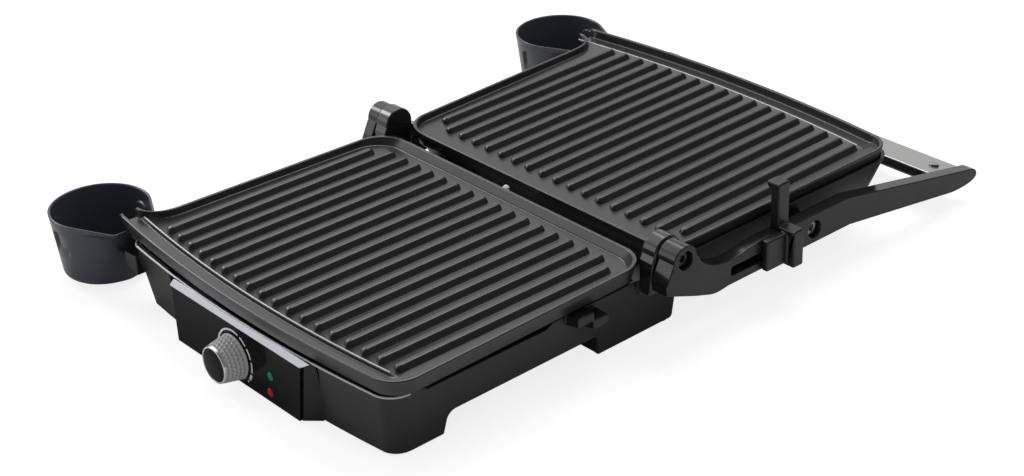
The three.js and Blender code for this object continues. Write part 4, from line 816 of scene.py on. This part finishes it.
tip_start = tip_far - tip_round
slope = (tip_top - bar_top[0][1]) / (tip_far - bar_top[0][0])
tip_middle = (tip_far, tip_low + tip_round)
tip_end = (tip_start, bar_top[0][1] + slope * (tip_start - bar_top[0][0]))
arm_outline = (
    arc(*hinge_axis, knuckle_radius, 0, 180, 40) + heel + bend(*under_bend, curve_steps) + [arm_bend_low]
    + bend((tip_far - tip_taper, tip_low + 1), (tip_far, tip_low), tip_middle, curve_steps)
    + bend(tip_middle, (tip_far, tip_top), tip_end, curve_steps)[1:]
    + bar_top + bend(*valley, curve_steps) + bend(*throat, curve_steps)[1:]
)
arm_plastic = grained("matt arm plastic", (0.011, 0.011, 0.013), 0.42, 0.0005, 0.00002, edge_roughness=0.17)
pivot_place = (lid_pivot.y, lid_pivot.z)
for hand, name in hands:
    work = bmesh.new()
    holes = [ring_of(hinge_axis, sunk_radius), ring_of(pivot_place, sunk_radius)]
    if hand > 0:
        holes.append(arm_slot)
    rounded_sheet(work, [arm_outline, *holes], hand * arm_inner, hand * arm_outer, arm_edge, across_x)
    for far_y in (arm_root_from, arm_root_to):
        bmesh.ops.bisect_plane(
            work, geom=[*work.verts, *work.edges, *work.faces], plane_co=(0, far_y, 0), plane_no=(0, 1, 0),
        )
    for place in (hinge_axis, pivot_place):
        recess = [ring_of(place, sunk_radius + recess_overlap, clockwise=False)]
        rounded_sheet(work, recess, hand * arm_inner, hand * (arm_outer - sunk_depth), recess_edge, across_x)
    knuckle = [ring_of(hinge_axis, knuckle_radius, knuckle_steps, clockwise=False)]
    knuckle_from = hand * (seam + seam_gap)
    rounded_sheet(work, knuckle, knuckle_from, hand * (arm_inner + knuckle_inset), arm_edge, across_x)
    widening = arm_root_outer[name] - arm_outer
    for vertex in work.verts:
        if abs(vertex.co.x) > (arm_inner + 2 * arm_outer) / 3:
            share = clamp((arm_root_to - vertex.co.y) / (arm_root_to - arm_root_from), 0, 1)
            vertex.co.x += hand * widening * share
    fit(meshed(f"arm_{name}", work), at_rest, "arm_frame", "arm", arm_plastic, f"lid_arm_{name}", even=True)


# Height clip: a black plastic slider whose tongue runs in the right arm's slot, with a hook over it.
# It is one moulding with well rounded edges, and the thumb pushes it along the arm.
clip_edge = 0.0014
dress("clip", "height_clip", "height_clip", black_plastic, clip_edge, 4)


# Drip cups: thin-walled satin blue-black mouldings, round below, with a rim that flares out to a narrow
# flat end. A finger scoop is sunk into each side, and a flat tongue slides into the base or the arm.
cup_centre_x = -209
cup_radius = 37
cup_end = -160.8
cup_end_half = 17.5
cup_height = 48.4
cup_bottom_radius = 31.5
cup_flare_drop = 12
cup_flare_half = 3
cup_flare_stand = 0.6
cup_wall = 2
cup_foot_round = 3
cup_corner = 3
corner_share = 0.8
cup_steps = 216
wall_steps = 90
# How far below the rim the rings of the cup's inside lie.
inside_depths = (2, 3, 4, 5, 6, 7, 8, 9, 10, 12, 14, 24, 34, 40)
scoop_half = 9
scoop_side = 2.6
scoop_top = 8
scoop_arch = 3.5
scoop_ledge = 1.6
scoop_low = 30
scoop_fade = 14
scoop_depth = 3.2
tongue_drop = 19
tongue_thickness = 2.6
tongue_from = -175.6
tongue_to = -154.2
tongue_half = 9
tongue_edge = 0.4
cup_places = {"front": (-218, 53.5), "rear": (229, 55)}


def cup_outline(y, below, margin):
    """The cup's plan at a depth below the rim and a margin inside its outside."""
    radius = cup_radius + (cup_bottom_radius - cup_radius) * below / cup_height - margin
    faded = smooth_step(0, cup_flare_drop, below)
    reach = cup_end - margin - cup_centre_x
    reach += (radius + cup_flare_stand - reach) * faded
    half = cup_end_half - margin / 2 + (cup_flare_half - cup_end_half) * faded
    tangent = degrees(atan2(half, reach) + acos(radius / hypot(half, reach)))
    outline = arc(cup_centre_x, y, radius, tangent, 360 - tangent, cup_steps)
    for side in (-1, 1):
        root = Vector(outline[-1 if side < 0 else 0])
        corner = Vector((cup_centre_x + reach, y + side * half))
        room = root - corner
        flank = room.normalized() * min(cup_corner, room.length * corner_share)
        inward = Vector((0, -side)) * min(cup_corner, half * corner_share)
        turn = bend(corner + flank, corner, corner + inward, 6)
        outline += turn if side < 0 else turn[::-1]
    return outline


def scooped(x, y, centre_y, below):
    """How deep the finger scoops are at a point of the cup's outside."""
    radius = hypot(x - cup_centre_x, y - centre_y)
    off = abs(atan2(x - cup_centre_x, abs(y - centre_y))) * radius
    top = scoop_top + scoop_arch * (off / scoop_half) ** 2
    inside = smooth_step(0, scoop_ledge, below - top) * smooth_step(scoop_half, scoop_half - scoop_side, off)
    return scoop_depth * inside * smooth_step(scoop_low, scoop_low - scoop_fade, below)


def cup_mesh(name, y, rim):
    """The cup from under its foot up its outside, over its rim and down its inside, and its tongue."""
    lip = cup_wall / 2
    foot = quarter(5)
    outer = [(cup_foot_round * down, cup_height - cup_foot_round * inward) for inward, down in foot]
    outer += [(0, (cup_height - cup_foot_round) * share) for share in spread(1, 0, wall_steps)[1:-1]]
    outer += arc(lip, lip, -lip, 0, 180, 6)
    inside = [(cup_wall, depth) for depth in inside_depths]
    inside += [
        (cup_wall + cup_foot_round * inward, cup_height - cup_wall - cup_foot_round * down)
        for inward, down in foot
    ]
    work = bmesh.new()
    loops = []
    for margin, below in outer + inside:
        loop = []
        for x, v in cup_outline(y, below, margin):
            sunk = scooped(x, v, y, below) if margin < lip else 0
            pull = sunk if v < y else -sunk
            loop.append(work.verts.new((x, v + pull, rim - below)))
        loops.append(loop)
    skin(work, loops)
    work.faces.new(loops[0][::-1])
    work.faces.new(loops[-1])
    bmesh.ops.recalc_face_normals(work, faces=work.faces)
    tongue_top = rim - tongue_drop
    near, far = y - tongue_half, y + tongue_half
    tongue = [(tongue_from, near), (tongue_to, near), (tongue_to, far), (tongue_from, far)]
    unturned = Matrix.Identity(3)
    rounded_sheet(work, [tongue], tongue_top - tongue_thickness, tongue_top, tongue_edge, unturned)
    return meshed(name, work)


cup_plastic = grained("cup plastic", (0.043, 0.047, 0.058), 0.27, 0.0008, 0.00001)
for end, (y, rim) in cup_places.items():
    fit(cup_mesh(f"cup_{end}", y, rim), at_rest, f"{end}_cup", "cup", cup_plastic, f"drip_cup_{end}")


# Panel: a glossy black cover on the front of the box, with a dial arc printed round the knob in white.
# The arc is one long stroke at the left, then dashes, and a broader mark near its end.
facing = Matrix(((1, 0, 0), (0, 0, -1), (0, 1, 0)))
knob_centre = (-16.5, 20)
panel_face = 237
print_thickness = 0.08
print_edge = 0.02
dial_radius = 19.0
# Each printed stroke's first and last angle, and its first and last width.
dial_strokes = (
    (172, 72, 1.4, 1.4), (66, 44, 1.3, 1.4), (38, 15, 1.3, 1.4), (9, -15, 1.4, 1.6),
    (-21, -37, 1.9, 2.3), (-43, -48, 1.4, 1.4),
)
stroke_step_degrees = 4
panel_gloss = grained("glossy panel", (0.003, 0.003, 0.004), 0.12, 0.002, 0.000002, gloss=0.08)
print_white = grained("white print", (0.92, 0.92, 0.92), 0.50, 0.0004, 0.000001)
dress("panel", "control_panel", "base", panel_gloss, sheet_edge, 3)
work = bmesh.new()
for start, end, first_width, last_width in dial_strokes:
    steps = max(int(abs(end - start) / stroke_step_degrees), 2)
    inner = []
    outer = []
    for angle, width in zip(spread(start, end, steps), spread(first_width, last_width, steps)):
        inner.append(polar(*knob_centre, dial_radius - width / 2, angle))
        outer.append(polar(*knob_centre, dial_radius + width / 2, angle))
    stroke = [inner + outer[::-1]]
    rounded_sheet(work, stroke, panel_face, panel_face + print_thickness, print_edge, facing, 1)
fit(meshed("dial_arc", work), at_rest, "base", "panel", print_white)


# Trim: a satin anodised strip along the sloping top edge of the panel, cut square at the left end and
# drawn out to a point along its upper edge at the right.
trim_left = -88.5
trim_right = 59
trim_foot = Vector((0, -237, 43.7))
trim_up = Vector((0, 1, 1)).normalized()
trim_out = Vector((0, -1, 1)).normalized()
trim_width = 5.2
trim_point = 7
trim_corner = 0.8
trim_thickness = 1.4
trim_edge = 0.35
trim = grained("satin anodised trim", (0.50, 0.50, 0.55), 0.28, 0.0006, 0.000006, metallic=0.6)
trim_turn = Matrix((Vector((1, 0, 0)), trim_up, trim_out)).transposed()
trim_outline = (
    [(trim_right, 0), (trim_right + trim_point, trim_width)]
    + arc(trim_left + trim_corner, trim_width - trim_corner, trim_corner, 90, 180, 6)
    + arc(trim_left + trim_corner, trim_corner, trim_corner, 180, 270, 6)
)
work = bmesh.new()
rounded_sheet(work, [trim_outline], 0, trim_thickness, trim_edge, trim_turn)
trim_place = at_rest @ Matrix.Translation(trim_foot)
fit(meshed("trim", work), trim_place, "base", "trim", trim, "panel_trim_strip", even=True)


# Knob: a tapered barrel of silver-grey plastic with staggered rows of dimples round its grip, a smooth
# ring round its front and a flat glossy cap. It is pushed onto the thermostat's shaft.
knob_back = 237.1
knob_length = 17
knob_back_radius = 16.4
knob_front_radius = 13.2
knob_bore = 5
knob_seat_radius = 11.9
knob_back_level = 0.2
grip_from = 1.2
grip_to = 15.2
grip_steps = 62
grip_sides = 396
grip_end = grip_to + 0.1
round_off = 0.7
ring_sides = 144
cap_radius = 11.8
cap_back = 15.3
cap_front = 16.95
cap_round = 0.35
cap_sides = 96
on_axis = 0.01
turned_gap = 0.0001


def turned_form(name, profile, sides, turn=Matrix.Identity(3)):
    """The mesh that a closed (radius, along) profile sweeps round its axis."""
    work = bmesh.new()
    angles = [2 * pi * step / sides for step in range(sides)]
    loops = [
        [work.verts.new(turn @ Vector((radius * cos(a), radius * sin(a), along))) for a in angles]
        for radius, along in profile
    ]
    skin(work, [*loops, loops[0]])
    bmesh.ops.remove_doubles(work, verts=work.verts, dist=turned_gap)
    bmesh.ops.recalc_face_normals(work, faces=work.faces)
    return meshed(name, work)


def radius_at(along):
    return knob_back_radius + (knob_front_radius - knob_back_radius) * along / knob_length


profile = [(knob_bore, knob_back_level), (knob_back_radius - round_off, knob_back_level)]
profile.append((knob_back_radius - 0.1, 0.8))
profile += [(radius_at(along), along) for along in spread(grip_from, grip_to, grip_steps)]
profile += [(radius_at(knob_length) - 0.5, grip_end), (knob_bore, grip_end)]
barrel = turned_form("knob barrel", profile, grip_sides)
dimple_sizes = {
    "Round Count": 30.0, "Row Pitch": 2.75, "From": 1.3, "To": 15.1, "Depth": 0.75, "Width Share": 0.46,
}
graph, size = shape_tree("dimples", dimple_sizes)
px, py, pz = graph.parts_of(graph.out("GeometryNodeInputPosition"))
rows = (pz - size["From"]) / size["Row Pitch"]
row_number = graph.math("FLOOR", rows)
turn_share = graph.math("ARCTAN2", py, px) / (2 * pi) * size["Round Count"]
turn_share = turn_share + graph.math("MODULO", row_number + 8, 2) * 0.5 + 100
off_round = (graph.math("FRACT", turn_share) - 0.5) / size["Width Share"]
off_row = (graph.math("FRACT", rows) - 0.5) / size["Width Share"]
away = off_round * off_round + off_row * off_row
bowl = graph.math("MAXIMUM", 1 - away, 0)
in_rows = graph.math("GREATER_THAN", pz, size["From"]) * graph.math("LESS_THAN", pz, size["To"])
radial = graph.math("SQRT", px * px + py * py)
on_side = graph.math("GREATER_THAN", radial, float(knob_seat_radius + 0.5))
dent = size["Depth"] * graph.math("POWER", bowl, 0.8) * in_rows * on_side
factor = 1 - dent / graph.math("MAXIMUM", radial, 0.1)
spot = graph.vector(px * factor, py * factor, pz)
dented = graph.out("GeometryNodeSetPosition", {"Geometry": size["Geometry"], "Position": spot})
finish_tree(graph, dented, size["Material"])
knob_grey = grained("silver-grey knob", (0.52, 0.52, 0.52), 0.44)
mesh = shaped("knob_grip", graph, {**dimple_sizes, "Material": knob_grey}, barrel)
knob_place = at_rest @ Matrix.Translation((knob_centre[0], -knob_back, knob_centre[1])) @ facing.to_4x4()
fit(mesh, knob_place, "knob", "knob", knob_grey, "control_knob")

ring_profile = [(knob_seat_radius, grip_to), (radius_at(grip_end), grip_end)]
ring_profile += [
    (radius_at(knob_length) - round_off * inward, knob_length - round_off * down)
    for inward, down in quarter(round_steps)
]
ring_profile += [(knob_seat_radius + 0.2, knob_length), (knob_seat_radius, knob_length - 0.2)]
ring_finish = grained("polished ring", (0.74, 0.74, 0.74), 0.22, 0.0006, 0.000004, metallic=0.8)
fit(turned_form("knob_ring", ring_profile, ring_sides), knob_place, "knob", "knob", ring_finish)

cap_profile = [(on_axis, cap_back), (cap_radius, cap_back), (cap_radius, cap_front - cap_round)]
cap_profile += [
    (cap_radius - cap_round * inward, cap_front - cap_round * down) for inward, down in quarter(3)
]
cap_profile.append((on_axis, cap_front))
fit(turned_form("cap", cap_profile, cap_sides), knob_place, "knob", "knob_cap", panel_gloss, "knob_cap")


# Lamps: two tinted clear domes that stand a little out of the panel, green for ready and red for power.
# Each is a moulded lens, pushed into its hole from behind.
lamp_radius = 3.1
lamp_rise = 1.0
lamp_back = 233
lamp_shoulder = panel_face - 0.2
# Each lamp's place on the panel, its tint and its material slot.
indicator_lamps = {
    "ready": ((23.4, 22), (0.0, 0.24, 0.10), "lamp_green"),
    "power": ((21.6, 9), (0.62, 0.004, 0.006), "lamp_red"),
}
lamp_profile = [(on_axis, lamp_back), (lamp_radius, lamp_back), (lamp_radius, lamp_shoulder)]
for step in range(0, 90, 10):
    angle = radians(step)
    lamp_profile.append((lamp_radius * cos(angle), lamp_shoulder + lamp_rise * sin(angle)))
lamp_profile.append((on_axis, lamp_shoulder + lamp_rise))
for lamp, ((x, z), tint, slot) in indicator_lamps.items():
    lens_mesh = turned_form(f"{lamp}_lamp", lamp_profile, 48, facing)
    finish = grained(f"{lamp} lamp lens", tint, 0.14, 0.002, 0.000002, mottle=0.25, gloss=0.2)
    fit(lens_mesh, at_rest @ Matrix.Translation((x, 0, z)), "base", slot, finish, f"{lamp}_lamp_lens")


# Handle: one sheet of stainless steel, brushed along its length and folded round three sides.
# A screw at each end holds it between the arms.
streak_strength = 0.24
streak_roughness = 0.16


def brushed(name, colour, roughness, along, depth):
    """A metal finish with fine lines, whose scale along each axis is given."""
    material, graph = new_material(name)
    place = graph.out("ShaderNodeTexCoord", output=3)
    drawn = graph.out("ShaderNodeVectorMath", {0: place, 1: along}, operation="MULTIPLY")
    lines = graph.out("ShaderNodeTexNoise", {"Vector": drawn, "Scale": 1.0, "Detail": 3.0})
    bump = graph.out("ShaderNodeBump", {"Strength": 0.5, "Distance": depth, "Height": lines})
    streaks = lines * streak_strength + (1 - streak_strength / 2)
    tint = graph.out("ShaderNodeVectorMath", {0: colour, "Scale": streaks}, operation="SCALE")
    rough = lines * streak_roughness + (roughness - streak_roughness / 2)
    shader = graph.out("ShaderNodeBsdfPrincipled", {
        "Base Color": tint, "Metallic": 1.0, "Roughness": rough, "Normal": bump,
    })
    graph.node("ShaderNodeOutputMaterial", {0: shader})
    return material


steel = brushed("brushed stainless steel", (0.44, 0.435, 0.43), 0.30, (9.0, 2600.0, 2600.0), 0.00001)
dress("handle", "handle_channel", "arm_frame", steel, sheet_edge)


# Screws, feet and the parts inside: zinc-plated steel, black rubber, cream ceramic, a green board, steel
# sheaths and aluminised sheet. They keep their CAD solids, but the handle's screws get rounded heads.
screw_edge = 0.00025
zinc = grained("zinc-plated steel", (0.34, 0.34, 0.35), 0.30, metallic=1.0)
blackened = grained("blackened steel", (0.06, 0.06, 0.065), 0.34, metallic=1.0)
looks = {
    "rubber": grained("black rubber", (0.012, 0.012, 0.012), 0.70, 0.0006, 0.00002),
    "fastener": zinc,
    "ceramic": grained("cream ceramic", (0.78, 0.75, 0.62), 0.50),
    "board": grained("circuit board", (0.03, 0.12, 0.05), 0.50),
    "element": grained("element sheath", (0.20, 0.19, 0.18), 0.50, metallic=0.8),
    "shield": grained("aluminised sheet", (0.50, 0.50, 0.50), 0.35, 0.0008, 0.00001, metallic=1.0),
}
for entry in frame["record"]["subparts"]:
    if entry["material_slot"] in looks:
        solid = frame["nodes"][entry["node"]].data
        solid.materials.clear()
        solid.materials.append(looks[entry["material_slot"]])
for hand, name in hands:
    dress(f"turned_handle_screw_{name}", f"handle_screw_{name}", "arm_frame", zinc, screw_edge)


# Hinge and pivot screws: steel pins with low rounded heads and hexagon sockets, deep in the arms' recesses.
# Each goes through its arm, into the hinge bracket or the lid's side.
pin_head = 2.2
pin_sunk = 3.4
pin_overlap = 0.3
pin_edge = 0.2
head_edge = 0.35
socket_radius = 2.7
socket_depth = 1.8
socket_floor_radius = 3.2
socket_floor_edge = 0.05
# Each kind's axis, where it starts, the radii of its shank and head, its body and its finish.
pin_kinds = {
    "hinge_pin": (hinge_axis, 138, 4, 5.5, "arm_frame", blackened),
    "lid_pivot_pin": (pivot_place, 137, 3.4, 5.2, "lid_head", zinc),
}
for hand, name in hands:
    for kind, (place, inner, shank, head, body, finish) in pin_kinds.items():
        face = (arm_root_outer[name] if kind == "hinge_pin" else arm_outer) - pin_sunk
        under = face - pin_head
        shank_ring = [ring_of(place, shank, 40, False)]
        head_rings = [ring_of(place, head, 64, False), arc(*place, socket_radius, 360, 60, 5)]
        floor_ring = [ring_of(place, socket_floor_radius, 30, False)]
        work = bmesh.new()
        rounded_sheet(work, shank_ring, hand * inner, hand * (under + pin_overlap), pin_edge, across_x)
        rounded_sheet(work, head_rings, hand * under, hand * face, head_edge, across_x)
        floor_level = hand * (face - socket_depth)
        rounded_sheet(work, floor_ring, hand * (under + 0.1), floor_level, socket_floor_edge, across_x)
        fit(meshed(f"{kind}_{name}_screw", work), at_rest, body, "fastener", finish, f"{kind}_{name}")
